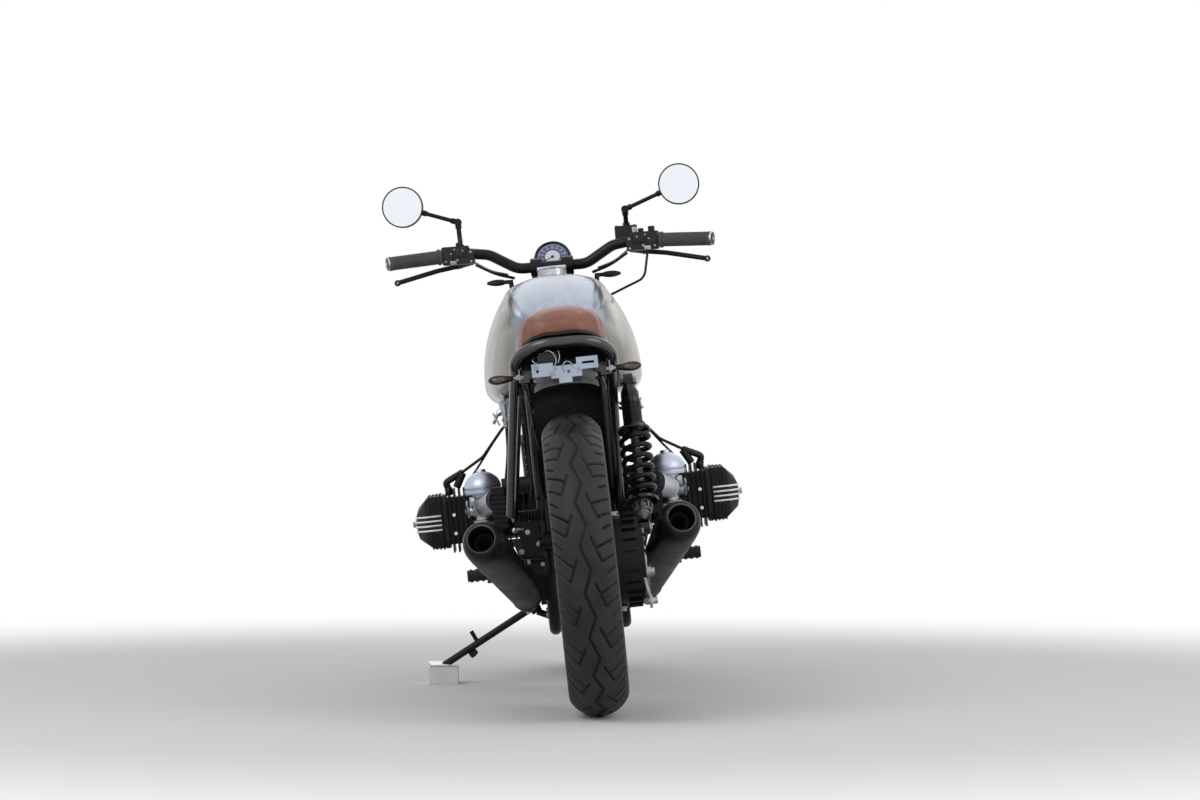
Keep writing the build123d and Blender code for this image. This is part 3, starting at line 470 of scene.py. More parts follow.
# The finish of each CAD node, also of those that a piece stands for
NODE_FINISHES = {
    "satin_black": (
        "frame rear_mudguard swingarm shock shock_spring rear_wheel side_stand yokes handlebar mirrors "
        "speedometer headlight front_mudguard front_wheel"
    ),
    "hoop_black": "rear_subframe",
    "moulded_black": "seat_pan rear_indicators bar_controls front_indicators brake_cable",
    "engine_black": "engine_block gearbox cylinders cylinder_heads valve_covers final_drive fork_legs",
    "hose_rubber": "air_box foot_controls spark_leads",
    "bright_alloy": "cover_fins fuel_cap",
    "cast_alloy": "carburettors",
    "heat_black": "exhaust_headers silencers",
    "worn_edge": "brake_linkage",
    "tank_metal": "fuel_tank",
    "zinc_steel": "fuel_taps",
    "bracket_steel": "light_bracket",
    "pale_block": "stand_block",
    "grip_rubber": "grips",
    "mirror_glass": "mirror_glasses",
    "dial_blue": "speedometer_dial",
    "lamp_clear": "headlight_lens",
    "ground_steel": "front_brake_disc",
}


# Trees for what repeats


def piece_tree(name, inputs):
    """A geometry tree with named sizes; returns it, its input sockets, its adder and its last step."""
    geometry = ("Geometry", "Geometry", None)
    inputs = [geometry, *inputs, ("Material", "Material", None)]
    tree, given, out = new_tree(name, "GeometryNodeTree", inputs, [geometry])

    def add(kind, values=None, **settings):
        return add_node(tree, kind, values, **settings)

    def finish(made):
        real = add("GeometryNodeRealizeInstances", {"Geometry": made.outputs[0]})
        values = {"Geometry": real.outputs[0], "Material": given.outputs["Material"]}
        tree.links.new(add("GeometryNodeSetMaterial", values).outputs[0], out.inputs[0])
        return tree

    return tree, given.outputs, add, finish


def on_facing_points(add, points, instance):
    """Sets an instance on every point, standing along the point's facing, at the point's size."""
    facing = add("GeometryNodeInputNamedAttribute", {"Name": "facing"}, data_type="FLOAT_VECTOR")
    size = add("GeometryNodeInputNamedAttribute", {"Name": "size"}, data_type="FLOAT")
    turn = add("FunctionNodeAlignRotationToVector", {"Vector": facing.outputs["Attribute"]}, axis="Z")
    size = size.outputs["Attribute"]
    values = {"Points": points, "Instance": instance, "Rotation": turn.outputs[0], "Scale": size}
    return add("GeometryNodeInstanceOnPoints", values)


def set_screws():
    """A screw with its washer on every point."""
    sizes = [("Head sides", "Int", 6), ("Head height", "Float", 0.7), ("Washer", "Float", 1.45)]
    tree, given, add, finish = piece_tree("set_screws", sizes)
    height = given["Head height"]
    head = {"Vertices": given["Head sides"], "Radius": 1.0, "Depth": height}
    head = add("GeometryNodeMeshCylinder", head).outputs["Mesh"]
    half = add("ShaderNodeMath", {0: height, 1: 0.5}, operation="MULTIPLY")
    lift = add("ShaderNodeCombineXYZ", {"Z": half.outputs[0]})
    head = add("GeometryNodeTransform", {"Geometry": head, "Translation": lift.outputs[0]})
    washer = add("GeometryNodeMeshCylinder", {"Vertices": 20, "Radius": given["Washer"], "Depth": 0.3})
    both = add("GeometryNodeJoinGeometry")
    tree.links.new(head.outputs[0], both.inputs[0])
    tree.links.new(washer.outputs["Mesh"], both.inputs[0])
    return finish(on_facing_points(add, given["Geometry"], both.outputs[0]))


def row_of_rings():
    """A round ring on every point, about the point's facing."""
    tree, given, add, finish = piece_tree("row_of_rings", [("Wire", "Float", 0.001)])
    ring = add("GeometryNodeCurvePrimitiveCircle", {"Resolution": 40, "Radius": 1.0})
    placed = on_facing_points(add, given["Geometry"], ring.outputs[0])
    real = add("GeometryNodeRealizeInstances", {"Geometry": placed.outputs[0]})
    wire = add("GeometryNodeCurvePrimitiveCircle", {"Resolution": 8, "Radius": given["Wire"]})
    values = {"Curve": real.outputs[0], "Profile Curve": wire.outputs[0]}
    return finish(add("GeometryNodeCurveToMesh", values))


def ring_of_teeth():
    """Small blocks standing round a circle, for knurls and notched collars."""
    sizes = [("Count", "Int", 48), ("Radius", "Float", 0.03), ("Tooth", "Vector", (0.002, 0.002, 0.01))]
    tree, given, add, finish = piece_tree("ring_of_teeth", sizes)
    ring = add("GeometryNodeMeshCircle", {"Vertices": given["Count"], "Radius": given["Radius"]})
    place = add("GeometryNodeInputPosition").outputs[0]
    turn = add("FunctionNodeAlignRotationToVector", {"Vector": place}, axis="X", pivot_axis="Z")
    block = add("GeometryNodeMeshCube", {"Size": given["Tooth"]})
    values = {"Points": ring.outputs[0], "Instance": block.outputs[0], "Rotation": turn.outputs[0]}
    return finish(add("GeometryNodeInstanceOnPoints", values))


def row_of_stitches():
    """Stitches laid end to end along a line of edges."""
    sizes = [("Spacing", "Float", 0.006), ("Length", "Float", 0.0042), ("Thread", "Float", 0.0006)]
    tree, given, add, finish = piece_tree("row_of_stitches", sizes)
    line = add("GeometryNodeMeshToCurve", {"Mesh": given["Geometry"]}).outputs[0]
    even = add("GeometryNodeResampleCurve", {"Curve": line, "Length": given["Spacing"]}, mode="LENGTH")
    stitch = {"Vertices": 6, "Radius": given["Thread"], "Depth": given["Length"]}
    stitch = add("GeometryNodeMeshCylinder", stitch)
    tangent = add("GeometryNodeInputTangent").outputs[0]
    turn = add("FunctionNodeAlignRotationToVector", {"Vector": tangent}, axis="Z")
    values = {"Points": even.outputs[0], "Instance": stitch.outputs[0], "Rotation": turn.outputs[0]}
    return finish(add("GeometryNodeInstanceOnPoints", values))


def run_tree(make, mesh, finish, values):
    """Puts a tree on a mesh, sets its named inputs and gives the plain mesh that it makes."""
    tree = bpy.data.node_groups.get(make.__name__) or make()
    values["Material"] = finish_of(finish)
    piece = new_object("tree_work", mesh)
    modifier = piece.modifiers.new("tree", "NODES")
    modifier.node_group = tree
    for item in tree.interface.items_tree:
        if item.in_out == "INPUT" and item.name in values:
            modifier[item.identifier] = values[item.name]
    made = plain_mesh(piece)
    piece.modifiers.remove(modifier)
    bpy.data.objects.remove(piece)
    return made


def spots(points, body):
    """Points (place, facing, size) in millimetres of the bike, set down on their body."""
    place = place_of(body)
    turn = place.to_3x3().normalized()
    mesh = bpy.data.meshes.new("spots")
    mesh.from_pydata([place @ Vector(p) for p, facing, size in points], [], [])
    mesh.attributes.new("facing", "FLOAT_VECTOR", "POINT")
    mesh.attributes.new("size", "FLOAT", "POINT")
    for i, (p, facing, size) in enumerate(points):
        mesh.attributes["facing"].data[i].vector = (turn @ Vector(facing)).normalized()
        mesh.attributes["size"].data[i].value = size / 1000
    return mesh


def add_screws(name, points, height=0.8, finish="zinc_steel", body="frame", sides=6, washer=1.45):
    """A piece of screws; height and washer are shares of each screw's size."""
    values = {"Head sides": sides, "Head height": height, "Washer": washer}
    add_piece(run_tree(set_screws, spots(points, body), finish, values), name, finish, body, angle=30)


def add_hoops(name, points, wire, finish, body="frame"):
    """A piece of round wire rings."""
    made = run_tree(row_of_rings, spots(points, body), finish, {"Wire": wire / 1000})
    add_piece(made, name, finish, body, angle=60)


def add_teeth(name, centre, axis, count, radius, tooth, finish):
    """A piece of small blocks round an axis of the frame."""
    values = {"Count": count, "Radius": radius / 1000, "Tooth": [t / 1000 for t in tooth]}
    mesh = run_tree(ring_of_teeth, bpy.data.meshes.new("empty"), finish, values)
    turn = Vector(axis).normalized().to_track_quat("Z", "X").to_matrix().to_4x4()
    mesh.transform(PLACE @ Matrix.Translation(centre) @ turn @ Matrix.Scale(1000, 4))
    add_piece(mesh, name, finish, angle=30)


def add_stitches(name, points, spacing, length, thread, finish):
    """A piece of stitches along a line on the frame."""
    line = bpy.data.meshes.new("line")
    edges = [(i, i + 1) for i in range(len(points) - 1)]
    line.from_pydata([PLACE @ Vector(p) for p in points], edges, [])
    values = {"Spacing": spacing / 1000, "Length": length / 1000, "Thread": thread / 1000}
    add_piece(run_tree(row_of_stitches, line, finish, values), name, finish, angle=60)


# Tyres

# One block of the tread, which repeats round the wheel: groove lines from (along, across) to
# (along, across) in mm, and their width. Across is measured over the crown from its middle,
# along runs down the back of the wheel.
TREAD_BLOCKS = 21
BLOCK_STEPS = 36
BLOCK_LENGTH = 98
GROOVES = [
    ((0, -9), (46, 9), 5.6),
    ((46, 9), (98, -9), 5.6),
    ((64, 36), (117, 16), 4.6),
    ((64, 36), (79, 70), 3.8),
    ((94, 25), (113, 70), 3.8),
    ((38, 47), (51, 70), 3.4),
    ((26, -38), (70, -20), 4.6),
    ((26, -38), (56, -76), 3.8),
    ((56, -28), (93, -76), 3.8),
    ((0, -52), (19, -72), 3.4),
]
GROOVE_REACH = 75
BEAD_RADIUS = 227.3
SIDEWALL_WIDTH = 62


def arc_points(a, b, c, count):
    """Points on the circle through a, b and c, from a to c."""
    (ax, ay), (bx, by), (cx, cy) = a, b, c
    aa, bb, cc = ax**2 + ay**2, bx**2 + by**2, cx**2 + cy**2
    d = 2 * (ax * (by - cy) + bx * (cy - ay) + cx * (ay - by))
    x = (aa * (by - cy) + bb * (cy - ay) + cc * (ay - by)) / d
    y = (aa * (cx - bx) + bb * (ax - cx) + cc * (bx - ax)) / d
    r = math.hypot(ax - x, ay - y)
    start, middle, end = (math.atan2(q - y, p - x) for p, q in (a, b, c))
    middle = start + math.remainder(middle - start, 2 * math.pi)
    end = middle + math.remainder(end - middle, 2 * math.pi)
    turns = (start + (end - start) * i / count for i in range(count + 1))
    return [(x + r * math.cos(t), y + r * math.sin(t)) for t in turns]


def build_tyre(name, body, axle, radius, width, rim, depth):
    """A tyre with its tread cut in, round an axle one radius above the floor."""
    half = width / 2
    inner = rim - 0.3
    shoulder = (half - 3, radius - 36)
    wall = arc_points((inner, BEAD_RADIUS + 15), (half, radius - 56), shoulder, 12)[:-1]
    crown = arc_points(shoulder, (0, radius), (-shoulder[0], shoulder[1]), 64)
    profile = [(inner, BEAD_RADIUS)] + wall + crown + [(-x, r) for x, r in reversed(wall)]
    profile = np.array(profile + [(-inner, BEAD_RADIUS)])
    across = np.concatenate([[0], np.cumsum(np.hypot(*np.diff(profile, axis=0).T))])
    across = across[-1] / 2 - across
    tangent = np.gradient(profile, axis=0)
    normal = np.stack([-tangent[:, 1], tangent[:, 0]], axis=1)
    normal /= np.linalg.norm(normal, axis=1)[:, None]
    if normal[len(normal) // 2, 1] < 0:
        normal = -normal
    pitch = 2 * math.pi * radius / TREAD_BLOCKS
    along = np.arange(TREAD_BLOCKS * BLOCK_STEPS) / BLOCK_STEPS * pitch
    u, v = np.meshgrid(along, across, indexing="ij")
    cut = np.zeros_like(u)
    stretch = pitch / BLOCK_LENGTH
    reach = min(1, (across[0] - SIDEWALL_WIDTH) / GROOVE_REACH)
    for (u0, v0), (u1, v1), wide in GROOVES:
        u0, u1, v0, v1 = u0 * stretch, u1 * stretch, v0 * reach, v1 * reach
        du, dv = u1 - u0, v1 - v0
        for shift in (-pitch, 0, pitch):
            pu, pv = (u % pitch) - u0 - shift, v - v0
            t = np.clip((pu * du + pv * dv) / (du * du + dv * dv), 0, 1)
            gap = np.hypot(pu - t * du, pv - t * dv)
            cut = np.maximum(cut, np.clip((wide / 2 + 0.9 - gap) / 1.6, 0, 1))
    cut = cut * cut * (3 - 2 * cut)
    turn = (-along / radius)[:, None]
    x = profile[:, 0] - normal[:, 0] * cut * depth
    r = profile[:, 1] - normal[:, 1] * cut * depth
    points = np.stack([x, axle + r * np.cos(turn), radius + r * np.sin(turn)], axis=2)
    index = np.arange(cut.size).reshape(cut.shape)
    ahead = np.roll(index, -1, axis=0)
    index = np.append(index, index[:, :1], axis=1)
    ahead = np.append(ahead, ahead[:, :1], axis=1)
    faces = np.stack([index[:, :-1], index[:, 1:], ahead[:, 1:], ahead[:, :-1]], axis=2).reshape(-1, 4)
    mesh = bpy.data.meshes.new(name)
    mesh.from_pydata(points.reshape(-1, 3).tolist(), [], faces.tolist())
    # The groove share also darkens the grooves' colour in the finish: painted shade
    shade_mark = mesh.attributes.new("groove", "FLOAT", "POINT")
    shade_mark.data.foreach_set("value", cut.reshape(-1).astype(np.float32))
    mesh.transform(place_of(body))
    add_piece(mesh, name, "tread_rubber", body, name.replace("_tread", "_tyre"), 60)


class BIKE_OT_tyres(bpy.types.Operator):
    """Tyres with a zigzag middle groove and slanted side grooves."""

    bl_idname = "bike.tyres"
    bl_label = "Tyres"

    def execute(self, context):
        depth = context.scene.bike_tyres.groove_depth
        build_tyre("rear_tread", "rear_wheel", 0, REAR_RADIUS, 130, 47, depth)
        build_tyre("front_tread", "front_wheel", WHEELBASE, FRONT_RADIUS, 104, 38, depth)
        return {"FINISHED"}


# Seat

SEAM_START = -248
SEAM_SWEEP = 316
SEAM_STEPS = 200
SEAM_LEVEL = 792
STITCH_LEVEL = 799


def coordinates(mesh):
    """The mesh's points, one row each."""
    found = np.empty(len(mesh.vertices) * 3)
    mesh.vertices.foreach_get("co", found)
    return found.reshape(-1, 3)


def settle_cushion(mesh, cell, pressure, limit):
    """Blows the pad up a little from inside with its underside held, and gives the new mesh."""
    piece = new_object("pad_work", mesh)
    remesh = piece.modifiers.new("even", "REMESH")
    remesh.mode = "VOXEL"
    remesh.voxel_size = cell
    even = plain_mesh(piece)
    piece.modifiers.remove(remesh)
    piece.data = even
    underside = [v.index for v in even.vertices if v.normal.z < -0.3]
    piece.vertex_groups.new(name="held").add(underside, 1.0, "REPLACE")
    cloth = piece.modifiers.new("cloth", "CLOTH")
    cloth.settings.use_pressure = True
    cloth.settings.uniform_pressure_force = pressure
    cloth.settings.vertex_group_mass = "held"
    cloth.settings.tension_stiffness = 15
    cloth.settings.compression_stiffness = 15
    cloth.settings.effector_weights.gravity = 0
    for step in range(1, 21):
        bpy.context.scene.frame_set(step)
    before, after = coordinates(even), coordinates(plain_mesh(piece))
    piece.modifiers.remove(cloth)
    bpy.context.scene.frame_set(1)
    move = after - before
    length = np.linalg.norm(move, axis=1)[:, None]
    move *= np.minimum(1, limit / np.maximum(length, 1e-9))
    even.vertices.foreach_set("co", (before + move).reshape(-1))
    even.update()
    smooth = piece.modifiers.new("fine", "SUBSURF")
    smooth.levels = 1
    smooth.render_levels = 1
    fine = plain_mesh(piece)
    bpy.data.objects.remove(piece)
    return fine


class BIKE_OT_seat(bpy.types.Operator):
    """Brown leather seat, swollen like real padding, with a seam round its lower edge."""

    bl_idname = "bike.seat"
    bl_label = "Seat"

    def execute(self, context):
        sizes = context.scene.bike_seat
        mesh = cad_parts["seat"].data.copy()
        back = PLACE.inverted()
        for vertex in mesh.vertices:
            # The crown falls away a little towards both sides
            p = back @ vertex.co
            high = max(0.0, min(1.0, (p.z - 800) / 60))
            p.z -= 15 * high * min(1.0, abs(p.x) / 100) ** 2
            vertex.co = PLACE @ p
        made = settle_cushion(mesh, sizes.cell, sizes.pressure, sizes.swell)
        cushion = add_piece(made, "seat_cushion", "brown_leather", replaces="seat", angle=80)
        leather = BVHTree.FromPolygons(
            [v.co for v in cushion.data.vertices], [p.vertices for p in cushion.data.polygons]
        )
        seam = Shape()
        seam.pipe(self.line_round(leather, cushion.data, SEAM_LEVEL), 1.5, 8, False)
        add_piece(seam, "seat_seam", "stitch_thread", angle=60)
        line = self.line_round(leather, cushion.data, STITCH_LEVEL)
        add_stitches("seat_stitches", line, 7, 4.6, 0.7, "stitch_thread")
        return {"FINISHED"}

    def line_round(self, leather, mesh, level):
        """Points on the leather at one level, round its rear and both sides."""
        back = PLACE.inverted()
        lengths = [(back @ v.co).y for v in mesh.vertices]
        centre = Vector((0, (min(lengths) + max(lengths)) / 2, level))
        line = []
        for i in range(SEAM_STEPS + 1):
            a = math.radians(SEAM_START + SEAM_SWEEP * i / SEAM_STEPS)
            start = PLACE @ (centre + Vector((math.cos(a), math.sin(a), 0)) * 500)
            hit = leather.ray_cast(start, (PLACE @ centre - start).normalized())[0]
            if hit:
                line.append(back @ hit)
        return line


# Engine

# Plans of a valve cover: out from the head, and up from the middle or along the bike
COVER_CROWN = [(318, -62), (348, -62), (379, -36), (383, -20), (383, 18), (375, 38), (352, 62), (318, 62)]
COVER_FLANGE = [(318, -62), (346, -62), (359, -50), (359, 52), (350, 62), (318, 62)]
BRIGHT_FIN = [(322, -87), (360, -87), (386, -54), (386, 54), (360, 87), (322, 87)]
COVER_HALF = 86.5


class BIKE_OT_valve_covers(bpy.types.Operator):
    """Valve covers with upright ribs, four bright fins and their nuts."""

    bl_idname = "bike.valve_covers"
    bl_label = "Valve covers"

    def execute(self, context):
        body, bright = Shape(), Shape()
        for side, y in CYLINDERS:
            body.stand(side, y)
            bright.stand(side, y)
            body.hull(
                [
                    (x, along, CYLINDER_Z + up)
                    for plan, half in ((COVER_CROWN, 52), (COVER_FLANGE, 83.5))
                    for x, up in plan
                    for along in (-half, half)
                ],
                3.0, 3,
            )
            for i in range(4):
                x = 321.5 + 8.5 * i
                for near, far, corner in ((22, 67 - i * 0.6, 14), (-25, -66 + i * 0.8, -10)):
                    levels = ((near, 0), (far - corner, 0), (far, abs(corner)))
                    body.hull(
                        [
                            (x + out, end * (COVER_HALF - cut), CYLINDER_Z + up)
                            for up, cut in levels
                            for end in (-1, 1)
                            for out in (0, 3.2)
                        ],
                        0.8, 1,
                    )
            for up in (15, 4, -7, -18):
                bright.hull([(x, y, CYLINDER_Z + up + z) for x, y in BRIGHT_FIN for z in (-2.2, 2.2)], 1.2)
        add_piece(body, "cover_bodies", "engine_black", replaces="valve_covers", angle=30)
        add_piece(bright, "cover_bright_fins", "fin_alloy", replaces="cover_fins", angle=30)
        nuts = [((386, 0, CYLINDER_Z - 1.5), OUT, 7.0)]
        nuts += [((353, along, CYLINDER_Z + 42), (1, 0, 0.9), 4.0) for along in (-70, 70)]
        add_screws("cover_nuts", both_sides(nuts, CYLINDERS), 1.1)
        nuts = [
            ((292, along, z), facing, size)
            for z in (441, 397)
            for along, facing, size in ((-83, BACK, 2.8), (83, FORWARD, 4.2))
        ]
        add_screws("head_nuts", both_sides(nuts, CYLINDERS), 1.4, "bright_alloy")
        return {"FINISHED"}


class BIKE_OT_carburettors(bpy.types.Operator):
    """Round-topped carburettors with flanges, bowls, clamps and their small levers."""

    bl_idname = "bike.carburettors"
    bl_label = "Carburettors"

    def execute(self, context):
        cast, dome, dark = Shape(), Shape(), Shape()
        for side, y in CARBURETTORS:
            for shape in (cast, dome, dark):
                shape.stand(side, y)
            foot, head = (217, 0, 392), (217, 0, 600)
            dome.lathe(foot, head, [
                (92, 29), (94, 45), (99, 46), (103, 46), (104, 42), (106, 43.5), (111, 43.8), (117, 42.5),
                (124, 39.5), (131, 34.5), (137, 27.5), (141, 21), (143.5, 14), (144, 11.5), (148, 11),
                (150.5, 9.5), (151, 4),
            ], 48)
            cast.lathe(foot, head, [
                (6, 21), (10, 27), (26, 28.5), (28, 31), (31, 31), (33, 24), (48, 23), (58, 27), (80, 28),
                (92, 30), (93, 30),
            ], 36)
            cast.box((217, 0, 408), (50, 56, 26), bevel=6, steps=3)
            cast.lathe((217, -44, 455), (217, 40, 455), [
                (0, 21.5), (1, 24.5), (9, 25), (10, 22.5), (16, 22), (30, 27), (52, 27), (64, 22), (74, 23),
                (84, 22.5),
            ], 32)
            hose, mouth = Vector((180, 690 - y, 470)), Vector((217, -44, 455))
            far = (mouth - hose).length
            cast.lathe(hose, mouth, [
                (13, 25), (13.5, 28), (20, 28), (21, 26.2), (far - 4, 26.4), (far + 2, 24), (far + 6, 16),
            ], 36)
            cast.lathe((217, 28, 455), (250, 74, 450), [
                (0, 19), (20, 18.5), (34, 18.5), (35, 24), (42, 24.5), (44, 19), (55, 19),
            ], 28)
            cast.lathe((239, 4, 447), (265, 4, 447), [
                (0, 15), (6, 15), (7, 12), (14, 11), (15, 16), (19, 16.5), (20, 13), (24, 6),
            ], 28)
            cast.box((243, -16, 470), (16, 14, 22), bevel=3)
            cast.box((193, -8, 466), (14, 26, 16), bevel=3)
            cast.rod((229, -34, 432), (229, -34, 470), 5)
            cast.rod((257, 4, 452), (257, 4, 474), 4)
            throttle = [(257, 4, 462), (258, 6, 500), (214, 70, 560), (150, 90, 640), (92, 120, 690)]
            dark.pipe(throttle, 2.6)
            fuel = [(217, -20, 400), (209, -40, 392), (180, -60, 430)]
            dark.pipe(fuel + [(150, 640 - y, 560), (144, 640 - y, 636)], 3.6)
        ring = [math.radians(60 * turn + 30) for turn in range(6)]
        screws = [((217 + 40.5 * math.cos(a), 40.5 * math.sin(a), 495), UP, 2.6) for a in ring]
        screws += [
            ((261, 4, 447), OUT, 3.6), ((243, -24, 474), BACK, 3.0), ((207, -30, 405), BACK, 3.2),
            ((229, -30, 402), BACK, 2.6), ((197, -30, 446), BACK, 3.4),
        ]
        add_piece(cast, "carb_bodies", "cast_alloy", replaces="carburettors")
        add_piece(dome, "carb_domes", "dome_alloy")
        add_piece(dark, "carb_lines", "hose_rubber", angle=60)
        add_screws("carb_screws", both_sides(screws, CARBURETTORS), 0.8, "bright_alloy", sides=12)
        return {"FINISHED"}


class BIKE_OT_plug_caps(bpy.types.Operator):
    """Bent spark plug caps on the heads."""

    bl_idname = "bike.plug_caps"
    bl_label = "Spark plug caps"

    def execute(self, context):
        caps = Shape()
        rings = []
        for side, y in CYLINDERS:
            caps.stand(side)
            a, b, c = Vector((262, y - 44, 541)), Vector((303, y - 30, 518)), Vector((298, y - 26, 488))
            caps.pipe([a, a.lerp(b, 0.55)], 5.6, 16, False, 7.4)
            caps.pipe([a.lerp(b, 0.5), b, c.lerp(b, 0.55)], 8.0, 16)
            caps.rod(c.lerp(b, 0.6), c, 9.2)
            ribs = [(a.lerp(b, share), b - a, 6.4 + share * 2) for share in (0.1, 0.22, 0.34, 0.46)]
            rings += both_sides(ribs + [(c.lerp(b, 0.5), c - b, 9.4)], [(side, 0)])
        add_piece(caps, "plug_caps", "moulded_black", angle=50)
        add_hoops("plug_cap_ribs", rings, 0.9, "moulded_black")
        return {"FINISHED"}


# Exhaust, rear drive and shock absorber

SILENCER_FRONT = Vector((133, 440, 243))
SILENCER_BACK = Vector((217, -20, 407))
SHOCK_TOP = Vector((138, 200, 712))
SHOCK_FOOT = Vector((138, 62, 392))
SHOCK_UP = (SHOCK_TOP - SHOCK_FOOT).normalized()


class BIKE_OT_silencers(bpy.types.Operator):
    """Matt silencers with a rolled mouth and a dark baffle inside."""

    bl_idname = "bike.silencers"
    bl_label = "Silencers"

    def execute(self, context):
        a, b = SILENCER_FRONT, SILENCER_BACK
        way, end = (b - a).normalized(), (b - a).length
        out = [(0, 26.5), (10, 28.5), (30, 32.5), (end - 82, 47.4), (end - 76, 47.8), (end - 44, 47.9)]
        for t in (math.radians(90) * i / 8 for i in range(1, 9)):
            out.append((end - 44 + 42 * math.sin(t), 32 + 15.9 * math.cos(t)))
        out += [(end - 1.2, 30.6), (end - 3, 29.2), (end - 60, 28.4)]
        rim = [(end - 3, 32.2), (end - 0.8, 31.6), (end - 0.2, 30.3), (end - 1, 29.2), (end - 4, 28.9)]
        baffle = [
            (end - 60, 28.6), (end - 62, 22), (end - 30, 21.5), (end - 28, 19.5), (end - 30, 18),
            (end - 88, 17.5), (end - 89, 0.5),
        ]
        hang = a + way * 150
        can, lip, inside, clamps = Shape(), Shape(), Shape(), Shape()
        for side in (-1, 1):
            for shape in (can, lip, inside, clamps):
                shape.stand(side)
            can.lathe(a, b, out, 64, caps=False)
            lip.lathe(a, b, rim, 64, caps=False)
            inside.lathe(a, b, baffle, 48, caps=False)
            clamps.lathe(a, b, [(14, 30), (15, 32.4), (27, 33.8), (28, 32)], 40)
            clamps.box(hang + Vector((-30, 0, 26)), (5, 34, 46), bevel=1.5)
        screws = [
            (hang + Vector((-33.5, 0, 40)), IN, 6),
            (a + way * 21 + Vector((0, 0, -34)), (0.2, 0, -1), 4),
        ]
        add_piece(can, "silencer_cans", "heat_black", replaces="silencers")
        add_piece(lip, "silencer_lips", "worn_edge", angle=60)
        add_piece(inside, "silencer_baffles", "soot", angle=50)
        add_piece(clamps, "silencer_clamps", "satin_black")
        add_screws("silencer_bolts", both_sides(screws), 0.9)
        return {"FINISHED"}


def on_shock(distance):
    """A point on the shock absorber's line, up from its foot."""
    return SHOCK_FOOT + SHOCK_UP * distance


class BIKE_OT_shock(bpy.types.Operator):
    """Shock absorber: body, threaded collar with notches, rod, eyes and their bolts."""

    bl_idname = "bike.shock"
    bl_label = "Shock absorber"

    def execute(self, context):
        top = (SHOCK_TOP - SHOCK_FOOT).length
        line = on_shock(0), on_shock(top)
        dark, bright = Shape(), Shape()
        dark.lathe(*line, [
            (top - 124, 22), (top - 123.5, 35.2), (top - 121, 36), (top - 118, 36), (top - 116.4, 34.5),
            (top - 116, 22), (top - 112, 20.6), (top - 60, 20.4), (top - 58, 22), (top - 50, 22.2),
            (top - 48, 20.4), (top - 30, 20.2), (top - 24, 17), (top - 12, 13),
        ], 48)
        dark.lathe(*line, [
            (58, 24), (58.5, 35), (61, 36), (65, 36), (66, 33.6), (66, 20), (74, 18), (74, 12), (104, 11),
            (104, 6),
        ], 48)
        for eye in (SHOCK_FOOT, SHOCK_TOP):
            half = Vector((10, 0, 0))
            ring = [(0, 12), (0, 16), (1, 17), (19, 17), (20, 16), (20, 12)]
            dark.lathe(eye - half, eye + half, ring, 36)
        dark.rod(on_shock(top - 24), on_shock(top - 10), 12.5)
        bright.lathe(*line, [(100, 7), (100, 9.6), (top - 124, 9.6), (top - 124, 7)], 32)
        bright.lathe(*line, [
            (14, 11), (18, 14), (30, 15.6), (34, 19), (42, 20), (44, 17), (52, 17), (54, 21), (58, 21),
            (58, 12),
        ], 36)
        knob = on_shock(28)
        bright.lathe(knob, knob + Vector((0, -30, 4)), [(0, 9), (18, 9), (20, 12), (27, 12), (29, 9)], 24)
        add_piece(dark, "shock_body", "gloss_black", replaces="shock", angle=35)
        add_piece(bright, "shock_fittings", "worn_edge", angle=35)
        add_teeth("shock_collar", on_shock(47), SHOCK_UP, 10, 19, (6, 5, 12), "worn_edge")
        rings = [(on_shock(top - 61 - 3.2 * i), SHOCK_UP, 20.6) for i in range(15)]
        add_hoops("shock_thread", rings, 0.8, "satin_black")
        pins = [(eye + Vector((out, 0, 0)), OUT, 9) for eye, out in ((SHOCK_TOP, 13), (SHOCK_FOOT, 11))]
        add_screws("shock_nuts", pins, 0.55)
        return {"FINISHED"}


